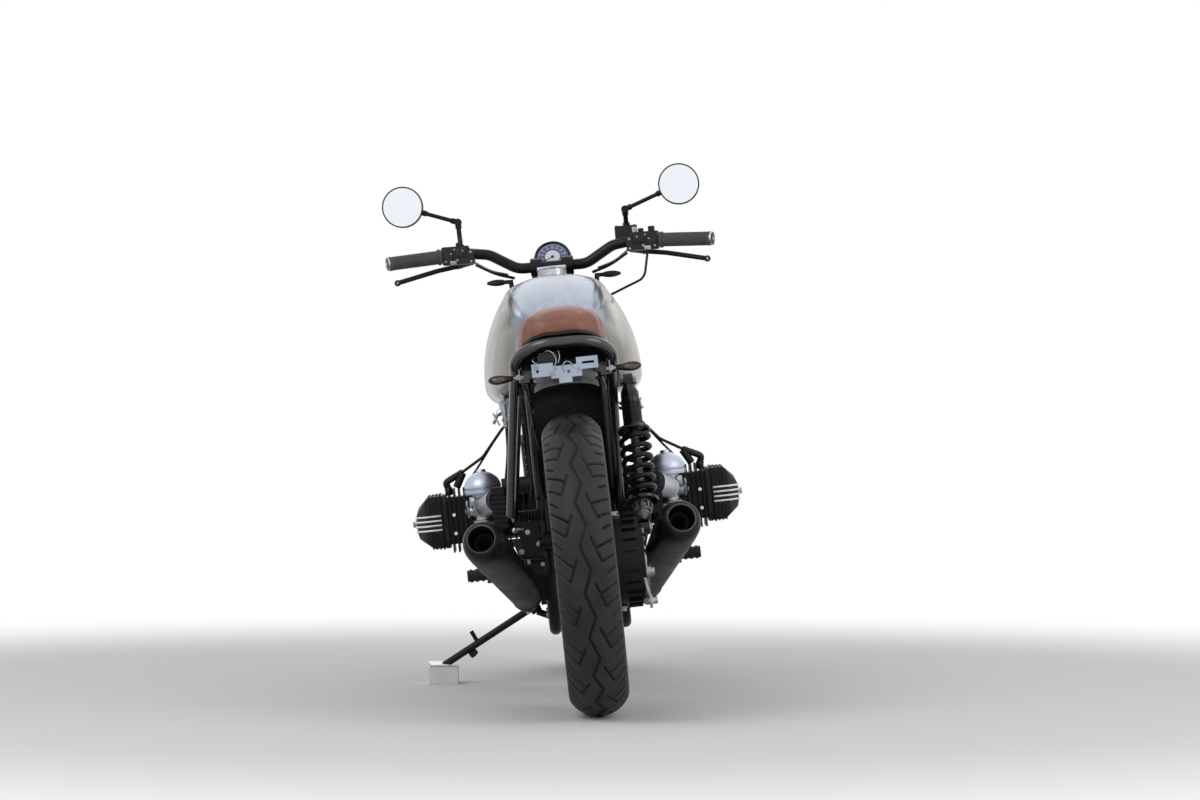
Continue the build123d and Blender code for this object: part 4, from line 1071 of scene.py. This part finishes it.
class BIKE_OT_rear_drive(bpy.types.Operator):
    """Drain and filler bolts on the final drive, the brake arm, its spring and wing nut."""

    bl_idname = "bike.rear_drive"
    bl_label = "Rear drive"

    def execute(self, context):
        z = REAR_RADIUS
        bolts = [((74, 0, z + 98), UP, 8.5), ((70, -6, z - 100), DOWN, 8.5), ((128, 0, z + 60), OUT, 5)]
        for a in (math.radians(45 * i + 22) for i in range(8)):
            bolts.append(((128, 62 * math.cos(a), z + 62 * math.sin(a)), OUT, 4))
        add_screws("drive_bolts", bolts, 1.0)
        bright = Shape()
        pivot = [(0, 15), (8, 15), (9, 12), (14, 12), (15, 9), (22, 8.6)]
        bright.lathe((124, -48, z - 28), (150, -48, z - 28), pivot, 28)
        arm = [(120 + x, 306) for x in (-4, 4)] + [(131 + x, 240) for x in (-3.25, 3.25)]
        bright.hull([(x, y, up) for x, up in arm for y in (-63, -58.5)], 1.4)
        plate = ((112, 350), (122, 360), (132, 334), (130, 302), (121, 293), (113, 302))
        bright.hull([(x, y, up) for x, up in plate for y in (-58, -53)], 1.4)
        bright.rod((120, -64, 306), (120, -52, 306), 7, 1, 6)
        bright.lathe((118, -48, 238), (146, -48, 238), [(0, 7), (1, 8), (27, 8), (28, 7)], 24)
        for side in (-1, 1):
            wing = ((-80, 4), (-74, 15), (-70, 4))
            bright.hull([(x, y, 238 + side * up) for y, up in wing for x in (128, 134)], 1)
        bright.rod((131, -84, 238), (131, -52, 238), 3.4)
        bright.lathe((131, -80, 238), (131, -66, 238), [(0, 6), (2, 8), (11, 8), (13, 6)], 20)
        coil = []
        for i in range(90):
            a = 2 * math.pi * i / 12
            coil.append((131 + 8 * math.cos(a), -42 + i * 0.62, 238 + 8 * math.sin(a)))
        bright.pipe(coil, 1.3, 8, False)
        add_piece(bright, "brake_arm", "zinc_steel")
        rings = [((104, 78 + 9 * i, 333 + 0.92 * i), (0, 1, 0.1), 29.5 + (i % 2)) for i in range(8)]
        add_hoops("swingarm_boot", rings, 3.2, "hose_rubber")
        return {"FINISHED"}


FRAME_WIRES = (
    (2.2, [(-100, 84, 722), (-98, 150, 660), (-97, 250, 590), (-98, 340, 520), (-104, 420, 470)]),
    (2.6, [(-88, 60, 724), (-84, 180, 690), (-80, 300, 640), (-72, 420, 560)]),
    (2.6, [(92, 100, 728), (96, 220, 660), (92, 340, 560), (90, 430, 500)]),
    (3.0, [(-60, 366, 700), (-84, 330, 640), (-86, 320, 560), (-78, 360, 470), (-82, 430, 420)]),
)


class BIKE_OT_frame_fittings(bpy.types.Operator):
    """Clamps, bolts, wires, links and rest bars about the frame, with black plates behind the silencers that
    stand in for dark parts and painted shade.
    """

    bl_idname = "bike.frame_fittings"
    bl_label = "Frame fittings"

    def execute(self, context):
        bolts = [
            ((97, 462, 366), OUT, 8), ((150, 438, 441), (0.6, -1, 0), 5), ((112, 455, 425), BACK, 4.5),
            ((92, 455, 320), BACK, 4), ((120, 455, 395), BACK, 4), ((138, 455, 352), BACK, 4.5),
            ((95, 770, 188), OUT, 6), ((95, 960, 188), OUT, 6),
        ]
        add_screws("frame_bolts", both_sides(bolts))
        sleeves = [((96 + 7 * i, 456 - 2 * i, 432), (1, -0.3, 0), 12) for i in range(7)]
        add_hoops("rest_ribs", both_sides(sleeves), 1.7, "hose_rubber")
        wires, links, bars_and_shade_plates = Shape(), Shape(), Shape()
        for radius, route in FRAME_WIRES:
            wires.pipe(route, radius)
        add_piece(wires, "frame_wires", "moulded_black", angle=60)
        links.pipe([(-104, 96, 704), (-140, 380, 470)], 1.9, 10, False)
        links.rod((-60, 470, 345), (-100, 470, 340), 5)
        links.rod((-152, 452, 402), (-128, 450, 404), 5)
        links.rod((-148, 448, 402), (-148, 436, 402), 7, 1, 6)
        links.rod((152, 452, 402), (128, 450, 404), 5)
        add_piece(links, "frame_links", "zinc_steel", angle=60)
        # A black plate on each side fills the gap behind the silencer, standing in for the dark parts and the
        # painted shade there; the two rods are the real bars
        shade_plate_outline = ((157, 381), (84, 380), (86, 236), (117, 238))
        for side in (-1, 1):
            bars_and_shade_plates.stand(side)
            bars_and_shade_plates.hull([(x, y, z) for x, z in shade_plate_outline for y in (458, 463)], 1.5)
            bars_and_shade_plates.rod((90, 452, 330), (140, 452, 334), 6)
            bars_and_shade_plates.rod((92, 448, 470), (60, 452, 474), 5)
        add_piece(bars_and_shade_plates, "rest_plates", "satin_black", angle=35)
        return {"FINISHED"}


# Tank, bars and lamps


class BIKE_OT_fuel_cap(bpy.types.Operator):
    """Knurled screw cap on the tank and the paddles of both taps."""

    bl_idname = "bike.fuel_cap"
    bl_label = "Fuel cap and taps"

    def execute(self, context):
        cap, paddle = Shape(), Shape()
        cap.lathe((0, 1000, 962), (0, 1000, 1010), [
            (0, 31), (16, 31), (17, 34.5), (22, 35.6), (24, 35.6), (25, 33.4), (26, 33.2), (38, 33.2),
            (38.5, 35), (40, 35.8), (43, 35.8), (44.5, 34.6), (45, 30), (45.4, 14), (45.6, 2),
        ], 64)
        add_piece(cap, "cap_body", "bright_alloy", replaces="fuel_cap", angle=30)
        add_teeth("cap_knurl", (0, 1000, 994), UP, 72, 33.3, (2.4, 1.5, 11.5), "bright_alloy")
        for side in (-1, 1):
            paddle.stand(side)
            turn = Matrix.Rotation(side * math.radians(24), 3, "Y").to_quaternion()
            paddle.box((166, 637.5, 656), (4.5, 13, 34), turn, 2.1, 3)
            paddle.lathe((152, 639, 672), (164, 638, 669), [(0, 8), (9, 8), (12, 6.5)], 24)
        nuts = [((144, 640, z), UP, size) for z, size in ((688, 12.6), (668, 12.6), (650, 9.5))]
        add_piece(paddle, "tap_paddles", "tap_steel")
        add_screws("tap_nuts", both_sides(nuts), 0.7, washer=0.9)
        return {"FINISHED"}


BAR_TURN = Vector((257, 1093, 1054))
BAR_END = Vector((391, 1050, 1045))
GRIP_RIBS = 36


class BIKE_OT_grips(bpy.types.Operator):
    """Ribbed rubber grips with bright bar ends."""

    bl_idname = "bike.grips"
    bl_label = "Grips"

    def execute(self, context):
        way = (BAR_END - BAR_TURN).normalized()
        a, b = BAR_TURN + way * 12, BAR_END
        end = (b - a).length
        rubber, ends, dark = Shape(), Shape(), Shape()
        for side in (-1, 1):
            for shape in (rubber, ends, dark):
                shape.stand(side)
            rubber.lathe(a, b, [
                (0, 13.4), (0.4, 19), (3, 20), (5, 19.6), (6, 16.2), (end - 8, 16.2), (end - 6, 17.4),
                (end - 1, 17.4), (end, 16.4), (end, 12),
            ], 36)
            ends.lathe(a, b, [
                (end, 10), (end + 0.4, 17.4), (end + 2.2, 17.6), (end + 4, 17), (end + 4.2, 15.4),
                (end + 3, 14),
            ], 36)
            ends.lathe(a, b, [(end + 5, 4), (end + 6.4, 3.6), (end + 6.6, 0.6)], 20)
            dark.lathe(a, b, [(end + 3, 15.6), (end + 5, 15), (end + 5.6, 12), (end + 5.6, 3)], 30)
        step = (end - 18) / (GRIP_RIBS - 1)
        rings = [(a + way * (8 + i * step), way, 16.3) for i in range(GRIP_RIBS)]
        add_piece(rubber, "grip_rubbers", "grip_rubber", "steering", "grips")
        add_hoops("grip_ribs", both_sides(rings), 0.75, "grip_rubber", "steering")
        add_piece(ends, "bar_ends", "bright_alloy", "steering")
        add_piece(dark, "bar_end_plugs", "satin_black", "steering")
        return {"FINISHED"}


# Stems of the mirrors: foot, elbow and the middle of the glass
MIRROR_STEMS = (
    ((-218, 1104, 1070), (-220, 1104, 1135), (-350, 1080, 1181)),
    ((187, 1140, 1094), (187, 1120, 1135), (323, 1080, 1184)),
)
HEADLIGHT = AXIS_ORIGIN + AXIS_FORWARD * 145 + AXIS_UP * 575


class BIKE_OT_controls(bpy.types.Operator):
    """Screws, buttons and pivots on the switches and levers, the mirror joints and the lamp's rim."""

    bl_idname = "bike.controls"
    bl_label = "Bar controls"

    def execute(self, context):
        black, steel = Shape(), Shape()
        for side in (-1, 1):
            black.stand(side)
            steel.stand(side)
            black.box((216, 1072, 1060), (26, 8, 20), bevel=2)
            black.box((248, 1072, 1048), (20, 8, 26), bevel=2)
            black.box((222, 1096, 1080), (14, 20, 10), bevel=2.5)
            black.lathe((200, 1098, 1054), (206, 1096, 1054), [(0, 20), (0.5, 23), (5, 23), (6, 20)], 32)
            black.lathe((256, 1094, 1054), (263, 1091, 1053.6), [(0, 20), (1, 22), (6, 22), (7, 20)], 32)
            black.box((193, 1078, 1048), (16, 8, 34), bevel=2)
            steel.box((236, 1071, 1036), (16, 8, 10), bevel=2)
            black.rod((196, 1120, 1040), (228, 1144, 1031), 8.5)
            steel.pipe([(186, 1092, 1034), (150, 1120, 1012), (110, 1140, 1000)], 2.4)
            black.pipe([(184, 1100, 1028), (140, 1128, 1004), (96, 1150, 990)], 3.6)
        # Only on one side: the brake's fluid box stands on the right bar
        black.box((248, 1084, 1082), (16, 22, 12), bevel=2)
        black.box((-216, 1084, 1086), (10, 14, 18), bevel=2)
        steel.box((206, 1124, 1076), (12, 6, 30), bevel=2)
        screws = [
            ((193, 1073, 1060), BACK, 2.4), ((193, 1073, 1037), BACK, 2.4), ((212, 1067, 1064), BACK, 1.8),
            ((240, 1067, 1058), BACK, 1.8), ((226, 1068, 1042), BACK, 2.3), ((254, 1068, 1040), BACK, 1.9),
            ((232, 1069, 1068), BACK, 2.0), ((222, 1146, 1040), UP, 5), ((378, 1094, 999), (0.5, -1, 0), 3),
        ]
        lid = [((x, y, 1096), UP, 2.4) for x in (163, 207) for y in (1131, 1167)]
        add_piece(black, "switch_details", "moulded_black", "steering")
        add_piece(steel, "switch_steel", "zinc_steel", "steering")
        add_screws("switch_screws", both_sides(screws) + lid, 0.7, body="steering", sides=12, washer=1.2)
        joints = Shape()
        rims = []
        for foot, elbow, centre in MIRROR_STEMS:
            foot, elbow, centre = Vector(foot), Vector(elbow), Vector(centre)
            up = (elbow - foot).normalized()
            way = (centre - elbow).normalized()
            joints.rod(foot - up * 3, foot + up * 10, 9, 1, 6)
            joints.rod(elbow - up * 16, elbow - up * 2, 7.8)
            joints.rod(elbow - Vector((0, 10, 0)), elbow + Vector((0, 10, 0)), 9)
            joints.rod(elbow + way * 4, elbow + way * 18, 7)
            joints.rod(centre - way * 62, centre - way * 47, 7)
            rims.append((centre + Vector((0, -4.4, 0)), FORWARD, 48.4))
        add_piece(joints, "mirror_joints", "satin_black", "steering")
        add_hoops("mirror_rims", rims, 1.7, "satin_black", "steering")
        rims = [(HEADLIGHT + Vector((0, y, 0)), FORWARD, size) for y, size in ((45, 82.6), (48, 74))]
        add_hoops("headlight_rim", rims, 2.2, "bright_alloy", "steering")
        return {"FINISHED"}


GAUGE = Vector((0, 1182, 1025))
GAUGE_FACING = Vector((0, -0.86, 0.5)).normalized()
GAUGE_FACE = GAUGE + GAUGE_FACING * 20
GAUGE_SIDE = Vector((1, 0, 0))
GAUGE_UP = GAUGE_FACING.cross(GAUGE_SIDE)
TICKS = 40
FIRST_TICK = -125
SWEEP = 250


def dial_spoke(tick):
    """The direction of a tick from the dial's middle, and the turn of a mark that lies along it."""
    a = math.radians(FIRST_TICK + SWEEP * tick / TICKS)
    way = GAUGE_SIDE * math.sin(a) + GAUGE_UP * math.cos(a)
    return way, Matrix((way, GAUGE_FACING.cross(way), GAUGE_FACING)).transposed().to_quaternion()


class BIKE_OT_gauge(bpy.types.Operator):
    """Round dial with ticks, plain numbers and a needle, in its ring."""

    bl_idname = "bike.gauge"
    bl_label = "Dial"

    def execute(self, context):
        blue, pale, needle, posts = Shape(), Shape(), Shape(), Shape()
        blue.lathe(GAUGE, GAUGE + GAUGE_FACING, [(19.4, 38.6), (20, 38.6), (20.2, 36)], 64)
        pale.lathe(GAUGE, GAUGE + GAUGE_FACING, [(20.2, 18.5), (20.9, 18.2)], 48)
        low = GAUGE_FACE + GAUGE_UP * -27
        flat = GAUGE_FACING.to_track_quat("Z", "Y")
        for x in (-9, 0, 9):
            pale.box(low + GAUGE_SIDE * x + GAUGE_FACING * 0.6, (4, 4, 1), flat, 0.3, 1)
        for tick in range(TICKS + 1):
            way, turn = dial_spoke(tick)
            long, wide = (6, 1.4) if tick % 4 == 0 else (3, 0.8)
            pale.box(GAUGE_FACE + way * (35.5 - long / 2) + GAUGE_FACING * 0.6, (long, wide, 0.6), turn, 0)
        add_piece(blue, "dial_face", "dial_blue", "steering", "speedometer_dial", 30)
        add_piece(pale, "dial_marks", "dial_white", "steering", angle=30)
        way, turn = dial_spoke(1.12)
        needle.box(GAUGE_FACE + way * 13 + GAUGE_FACING * 1.4, (34, 1.8, 0.8), turn, 0.3, 1)
        needle.lathe(GAUGE_FACE, GAUGE_FACE + GAUGE_FACING, [(0.8, 4), (2.0, 3.6), (2.1, 0.5)], 24)
        add_piece(needle, "dial_needle", "moulded_black", "steering")
        for value in range(20, 180, 20):
            way = dial_spoke(value / 5)[0]
            curve = bpy.data.curves.new("number", "FONT")
            curve.body = str(value)
            curve.size = 0.0058
            curve.extrude = 0.0001
            curve.align_x = "CENTER"
            curve.align_y = "CENTER"
            text = new_object("number", curve)
            mesh = plain_mesh(text)
            bpy.data.objects.remove(text)
            at = GAUGE_FACE + way * 25.5 + GAUGE_FACING * 0.7
            turn = Matrix((GAUGE_SIDE, GAUGE_UP, GAUGE_SIDE.cross(GAUGE_UP))).transposed().to_4x4()
            mesh.transform(STEERED @ Matrix.Translation(at) @ turn @ Matrix.Scale(1000, 4))
            add_piece(mesh, "dial_number_%d" % value, "dial_white", "steering", angle=30)
        rims = [(GAUGE + GAUGE_FACING * far, GAUGE_FACING, size) for far, size in ((22, 41.6), (12, 44.4))]
        add_hoops("dial_rims", rims, 2.2, "gloss_black", "steering")
        for x in (-40, 40):
            posts.rod((x, 1136, 985), (x, 1136, 1026), 7)
            posts.box((x, 1140, 1024), (13, 26, 10), bevel=2)
        add_piece(posts, "dial_posts", "satin_black", "steering")
        caps = both_sides([((40, 1130, 1028), (0, -1, 0.6), 4)])
        add_screws("dial_screws", caps, 0.8, "bright_alloy", "steering", 12)
        return {"FINISHED"}


LAMP_PROFILE = (
    (0, 0.3), (0.06, 0.42), (0.2, 0.62), (0.38, 0.86), (0.55, 0.99), (0.7, 1.0), (0.84, 0.86),
    (0.94, 0.56), (1.0, 0.12),
)


class BIKE_OT_indicators(bpy.types.Operator):
    """Smoked teardrop lamps on bright stalks at the rear."""

    bl_idname = "bike.indicators"
    bl_label = "Indicators"

    def execute(self, context):
        z, inner, outer, radius = 742, 108, 166, 10.4
        lamp, glass, stalk = Shape(), Shape(), Shape()
        for side in (-1, 1):
            lamp.stand(side)
            stalk.stand(side)
            body = [((outer - inner) * t, radius * r) for t, r in LAMP_PROFILE]
            lamp.lathe((inner, 0, z), (outer, 0, z), body, 32)
            window = bmesh.new()
            bmesh.ops.create_uvsphere(window, u_segments=28, v_segments=16, radius=1)
            bmesh.ops.scale(window, vec=(17, 5.2, 6.6), verts=window.verts)
            bmesh.ops.translate(window, vec=(side * (outer - 24), -6.6, z - 1), verts=window.verts)
            glass.take(window)
            neck = [(0, 6), (1, 7), (6, 7), (7, 4.5), (15, 4.2), (18, 4)]
            stalk.lathe((94, 0, z), (112, 0, z), neck, 24)
            stalk.hull([(x, y, z + up) for x in (96, 99) for y in (-7.5, 7.5) for up in (-9, 22)], 1)
        add_piece(lamp, "rear_lamp_bodies", "gloss_black", replaces="rear_indicators", angle=50)
        add_piece(glass, "rear_lamp_windows", "lamp_smoke", angle=60)
        add_piece(stalk, "rear_lamp_stalks", "zinc_steel")
        add_screws("rear_lamp_nuts", both_sides([((94, -1, z), IN, 6), ((101, -8, z + 1), BACK, 4)]))
        return {"FINISHED"}


BRACKET_WIRES = (
    (1.1, [(-46, -70, 784), (-34, -96, 792), (-22, -108, 786), (-16, -112, 770), (-22, -116, 756)]),
    (1.2, [(-2, -117, 744), (-4, -120, 756), (4, -121, 765), (14, -119, 762), (18, -117, 752)]),
    (0.9, [(-14, -80, 786), (-10, -100, 790), (-8, -110, 778), (-12, -114, 764)]),
    (1.0, [(-58, -72, 780), (-66, -84, 776), (-60, -90, 768), (-44, -88, 772)]),
)
GUARD_HALF = 69


class BIKE_OT_light_bracket(bpy.types.Operator):
    """Bolts, wires and the relay box about the light bracket, and the mudguard's crowned end."""

    bl_idname = "bike.light_bracket"
    bl_label = "Light bracket"

    def execute(self, context):
        bolts = [
            ((-60, -114.5, 758), BACK, 3.6), ((-27, -116.5, 742), BACK, 3.8),
            ((30, -116.5, 746), BACK, 2.8), ((-20, -116.5, 752), BACK, 2.4),
        ]
        add_screws("bracket_bolts", bolts)
        wires, relay, crown = Shape(), Shape(), Shape()
        for radius, route in BRACKET_WIRES:
            wires.pipe(route, radius)
        add_piece(wires, "bracket_wires", "zinc_steel", angle=60)
        relay.box((-34, -84, 772), (44, 26, 24), bevel=2.5)
        relay.box((-34, -84, 786), (36, 20, 6), bevel=1.5)
        add_piece(relay, "relay_box", "moulded_black")
        outer = []
        for share in (i / 12 for i in range(13)):
            middle = 721 + 52 * math.sin(share * math.pi / 2)
            drop = 14 + 26 * share
            outer.append([
                Vector((
                    GUARD_HALF * u, -113 + 62 * share, middle - drop * (1 - math.sqrt(1 - 0.9 * u * u)) * 1.45
                ))
                for u in (k / 12 - 1 for k in range(25))
            ])
        crown.tube([row + [p + Vector((0, 1.2, -2)) for p in reversed(row)] for row in outer])
        crown.pipe([p + Vector((0, 0, -1)) for p in outer[0][::2]], 2.4, 10, False)
        add_piece(crown, "guard_crown", "guard_black", angle=50)
        return {"FINISHED"}


class BIKE_OT_side_stand(bpy.types.Operator):
    """Rubber stop and pale foot on the side stand."""

    bl_idname = "bike.side_stand"
    bl_label = "Side stand"

    def execute(self, context):
        pivot = Vector((-128, 955, 200))
        foot = Vector((-358, 1000, (42.8 - LIFT + 358 * math.sin(LEAN)) / math.cos(LEAN)))
        at = pivot + (foot - pivot).normalized() * ((foot - pivot).length * 0.72)
        tip = at + Vector((12, 4, -16))
        rubber, metal = Shape(), Shape()
        stop = [(0, 8), (1, 10.4), (8, 11), (12, 10), (13, 6)]
        rubber.lathe(at.lerp(tip, 0.45), tip + (tip - at).normalized() * 2, stop, 24)
        add_piece(rubber, "stand_stop", "hose_rubber", "side_stand", angle=50)
        # The foot lies level on the block, so it is turned back by the lean
        turn = Matrix.Rotation(LEAN, 4, "Y")
        for corners in (
            [(u, v, w) for u in (-31.8, 15.4) for v in (-20.6, 20.6) for w in (-2.4, 3)],
            [(-30, v, w) for v in (-18, 18) for w in (0, 3)]
            + [(-40, v, w) for v in (-14, 14) for w in (6, 9)],
            [(u, v, w) for u in (-36, 0) for v, w in ((-12, 1), (-12, 3), (20, 6), (20, 9))],
        ):
            metal.hull([foot + turn @ Vector(c) for c in corners], 1.2)
        add_piece(metal, "stand_foot", "fin_alloy", "side_stand")
        return {"FINISHED"}


class BIKE_OT_engine_covers(bpy.types.Operator):
    """Screws round the front cover, the ribs of the sump and the bolts of the brake disc."""

    bl_idname = "bike.engine_covers"
    bl_label = "Engine covers"

    def execute(self, context):
        front = [(x, z) for x in (-80, 80) for z in (300, 420, 540)]
        front += [(x, z) for z in (580, 260) for x in (-40, 40)]
        lower = [((108, y, 240), OUT, 4) for y in (730, 790, 850, 980)]
        lower += [((86, y, 300), OUT, 4) for y in (540, 620, 680)]
        add_screws("engine_screws", [((x, 1062, z), FORWARD, 4.5) for x, z in front] + both_sides(lower))
        ribs = Shape()
        for i in range(9):
            ribs.box((0, 752 + 29 * i, 190), (116, 3, 10), bevel=1)
        for i in range(7):
            ribs.box((0, 1063, 330 + 30 * i), (110, 5, 4), bevel=1.4)
        for side in (-1, 1):
            ribs.stand(side)
            for i in range(5):
                ribs.box((109, 860, 522 + 18 * i), (4, 150, 4), bevel=1.4)
        add_piece(ribs, "engine_ribs", "engine_black")
        turns = [math.radians(60 * i) for i in range(6)]
        disc = [
            ((-64.5, WHEELBASE + 66 * math.cos(a), FRONT_RADIUS + 66 * math.sin(a)), IN, 4.5) for a in turns
        ]
        add_screws("disc_bolts", disc, 0.6, body="front_wheel")
        return {"FINISHED"}


class BIKE_OT_paint(bpy.types.Operator):
    """Gives each CAD node its paint, metal or rubber."""

    bl_idname = "bike.paint"
    bl_label = "Paint and metal"

    def execute(self, context):
        for finish, nodes in NODE_FINISHES.items():
            for node in nodes.split():
                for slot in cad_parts[node].material_slots:
                    slot.link = "OBJECT"
                    slot.material = finish_of(finish)
        return {"FINISHED"}


# Stage


def soft_lamp(name, at, aim, size, power):
    """A rectangular lamp at one point, turned to another."""
    data = bpy.data.lights.new(name, "AREA")
    data.shape = "RECTANGLE"
    data.size, data.size_y = size
    data.energy = power
    lamp = new_object(name, data)
    lamp.location = at
    lamp.rotation_euler = (Vector(aim) - Vector(at)).to_track_quat("-Z", "Y").to_euler()


def seen_white(tree):
    """The share of rays that should meet the white background."""
    rays = add_node(tree, "ShaderNodeLightPath").outputs
    first = maths(tree, "ADD", rays["Is Camera Ray"], rays["Is Glossy Ray"], clamp=True)
    return maths(tree, "ADD", first, rays["Is Transmission Ray"], clamp=True)


def floor_finish():
    """Pale floor that fades to the white background away from the bike."""
    material = bpy.data.materials.new("pale_floor")
    material.use_nodes = True
    tree = material.node_tree
    shader = tree.nodes["Principled BSDF"]
    shader.inputs["Base Color"].default_value = (0.80, 0.80, 0.79, 1)
    shader.inputs["Roughness"].default_value = 0.95
    place = add_node(tree, "ShaderNodeTexCoord").outputs["Object"]
    length = add_node(tree, "ShaderNodeVectorMath", {0: place}, operation="LENGTH").outputs["Value"]
    share = maths(tree, "MULTIPLY", spread(tree, length, 1.6, 3.4), seen_white(tree))
    glow = add_node(tree, "ShaderNodeEmission", {"Color": (1, 1, 1, 1)})
    mix = add_node(tree, "ShaderNodeMixShader", {0: share, 1: shader.outputs[0], 2: glow.outputs[0]})
    tree.links.new(mix.outputs[0], tree.nodes["Material Output"].inputs["Surface"])
    return material


class BIKE_OT_stage(bpy.types.Operator):
    """Pale floor, soft lamps, white background and the camera."""

    bl_idname = "bike.stage"
    bl_label = "Stage"

    def execute(self, context):
        scene = context.scene
        scene.view_settings.view_transform = "Standard"
        stage = scene.bike_stage
        made = bmesh.new()
        bmesh.ops.create_grid(made, x_segments=1, y_segments=1, size=30)
        mesh = bpy.data.meshes.new("floor")
        made.to_mesh(mesh)
        made.free()
        mesh.materials.append(floor_finish())
        floor = new_object("floor", mesh)
        floor.location.z = -0.0005
        world = bpy.data.worlds.new("studio")
        world.use_nodes = True
        tree = world.node_tree
        strength = maths(tree, "MULTIPLY_ADD", seen_white(tree), 1.0 - stage.fill, stage.fill)
        back = tree.nodes["Background"]
        back.inputs["Color"].default_value = (1.0, 1.0, 1.0, 1)
        tree.links.new(strength, back.inputs["Strength"])
        scene.world = world
        soft_lamp("key_lamp", (-2.6, -3.0, 3.6), (0, 0, 0.5), (2.5, 2.5), stage.key)
        soft_lamp("fill_lamp", (3.2, -2.4, 2.4), (0, 0, 0.5), (2.2, 2.2), stage.key * 0.55)
        soft_lamp("rim_lamp", (0.5, 3.6, 3.4), (0, 0, 0.6), (5.0, 4.0), stage.key * 0.5)
        data = bpy.data.cameras.new("camera")
        data.sensor_width = 36
        data.lens = 118.5
        data.clip_end = 100
        camera = new_object("camera", data)
        camera.location = (-0.026, -9.237, 0.680)
        camera.rotation_euler = (math.radians(90), 0, math.radians(-0.754))
        scene.camera = camera
        return {"FINISHED"}


class BikeTyreSizes(bpy.types.PropertyGroup):
    groove_depth: bpy.props.FloatProperty(
        name="Groove depth",
        description="Depth of the tread grooves in millimetres",
        default=4.0,
        min=0,
        max=8,
    )


class BikeSeatSizes(bpy.types.PropertyGroup):
    cell: bpy.props.FloatProperty(
        name="Cell", description="Size of the pad's mesh cells", default=0.005, unit="LENGTH"
    )
    pressure: bpy.props.FloatProperty(name="Pressure", description="Air pressure in the pad", default=4.0)
    swell: bpy.props.FloatProperty(
        name="Swell", description="Most that the leather may move", default=0.006, unit="LENGTH"
    )


def colour_setting(finish, label, note):
    """A colour that starts as the first tone of a finish."""
    return bpy.props.FloatVectorProperty(
        name=label, description=note, default=FINISH_TABLE[finish][1], size=3, subtype="COLOR", min=0, max=1
    )


class BikeColours(bpy.types.PropertyGroup):
    brown_leather: colour_setting("brown_leather", "Leather", "Main tone of the seat's leather")
    # The tank's main tone is its bluish painted sky reflection
    tank_metal: colour_setting("tank_metal", "Tank", "Main tone of the tank's bare metal")
    satin_black: colour_setting("satin_black", "Frame paint", "Main tone of the frame, wheels and bars")
    grip_rubber: colour_setting("grip_rubber", "Grips", "Main tone of the grips")


class BikeStage(bpy.types.PropertyGroup):
    key: bpy.props.FloatProperty(
        name="Key lamp", description="Power of the main lamp", default=58.0, min=0, unit="POWER"
    )
    fill: bpy.props.FloatProperty(
        name="Room light",
        description="Even light from all round",
        default=0.45,
        min=0,
        max=1,
        subtype="FACTOR",
    )


class BIKE_PT_panel(bpy.types.Panel):
    """Everything the bike is dressed with."""

    bl_label = "Cafe Racer"
    bl_idname = "BIKE_PT_panel"
    bl_space_type = "VIEW_3D"
    bl_region_type = "UI"
    bl_category = "Cafe Racer"

    def draw(self, context):
        layout = self.layout
        for group in GROUPS:
            values = getattr(context.scene, group)
            for name in values.__annotations__:
                layout.prop(values, name)
        for operator in OPERATORS:
            layout.operator(operator.bl_idname)


GROUPS = {
    "bike_tyres": BikeTyreSizes,
    "bike_seat": BikeSeatSizes,
    "bike_colours": BikeColours,
    "bike_stage": BikeStage,
}
OPERATORS = [
    BIKE_OT_paint, BIKE_OT_tyres, BIKE_OT_seat, BIKE_OT_valve_covers, BIKE_OT_carburettors,
    BIKE_OT_plug_caps, BIKE_OT_silencers, BIKE_OT_shock, BIKE_OT_rear_drive, BIKE_OT_frame_fittings,
    BIKE_OT_fuel_cap, BIKE_OT_grips, BIKE_OT_controls, BIKE_OT_gauge, BIKE_OT_indicators,
    BIKE_OT_light_bracket, BIKE_OT_side_stand, BIKE_OT_engine_covers, BIKE_OT_stage,
]


def register():
    for name, group in GROUPS.items():
        bpy.utils.register_class(group)
        setattr(bpy.types.Scene, name, bpy.props.PointerProperty(type=group))
    for operator in OPERATORS:
        bpy.utils.register_class(operator)
    bpy.utils.register_class(BIKE_PT_panel)


def unregister():
    bpy.utils.unregister_class(BIKE_PT_panel)
    for operator in reversed(OPERATORS):
        bpy.utils.unregister_class(operator)
    for name, group in GROUPS.items():
        delattr(bpy.types.Scene, name)
        bpy.utils.unregister_class(group)


def main():
    register()
    for operator in OPERATORS:
        group, name = operator.bl_idname.split(".")
        getattr(getattr(bpy.ops, group), name)()


if __name__ == "__main__":
    main()
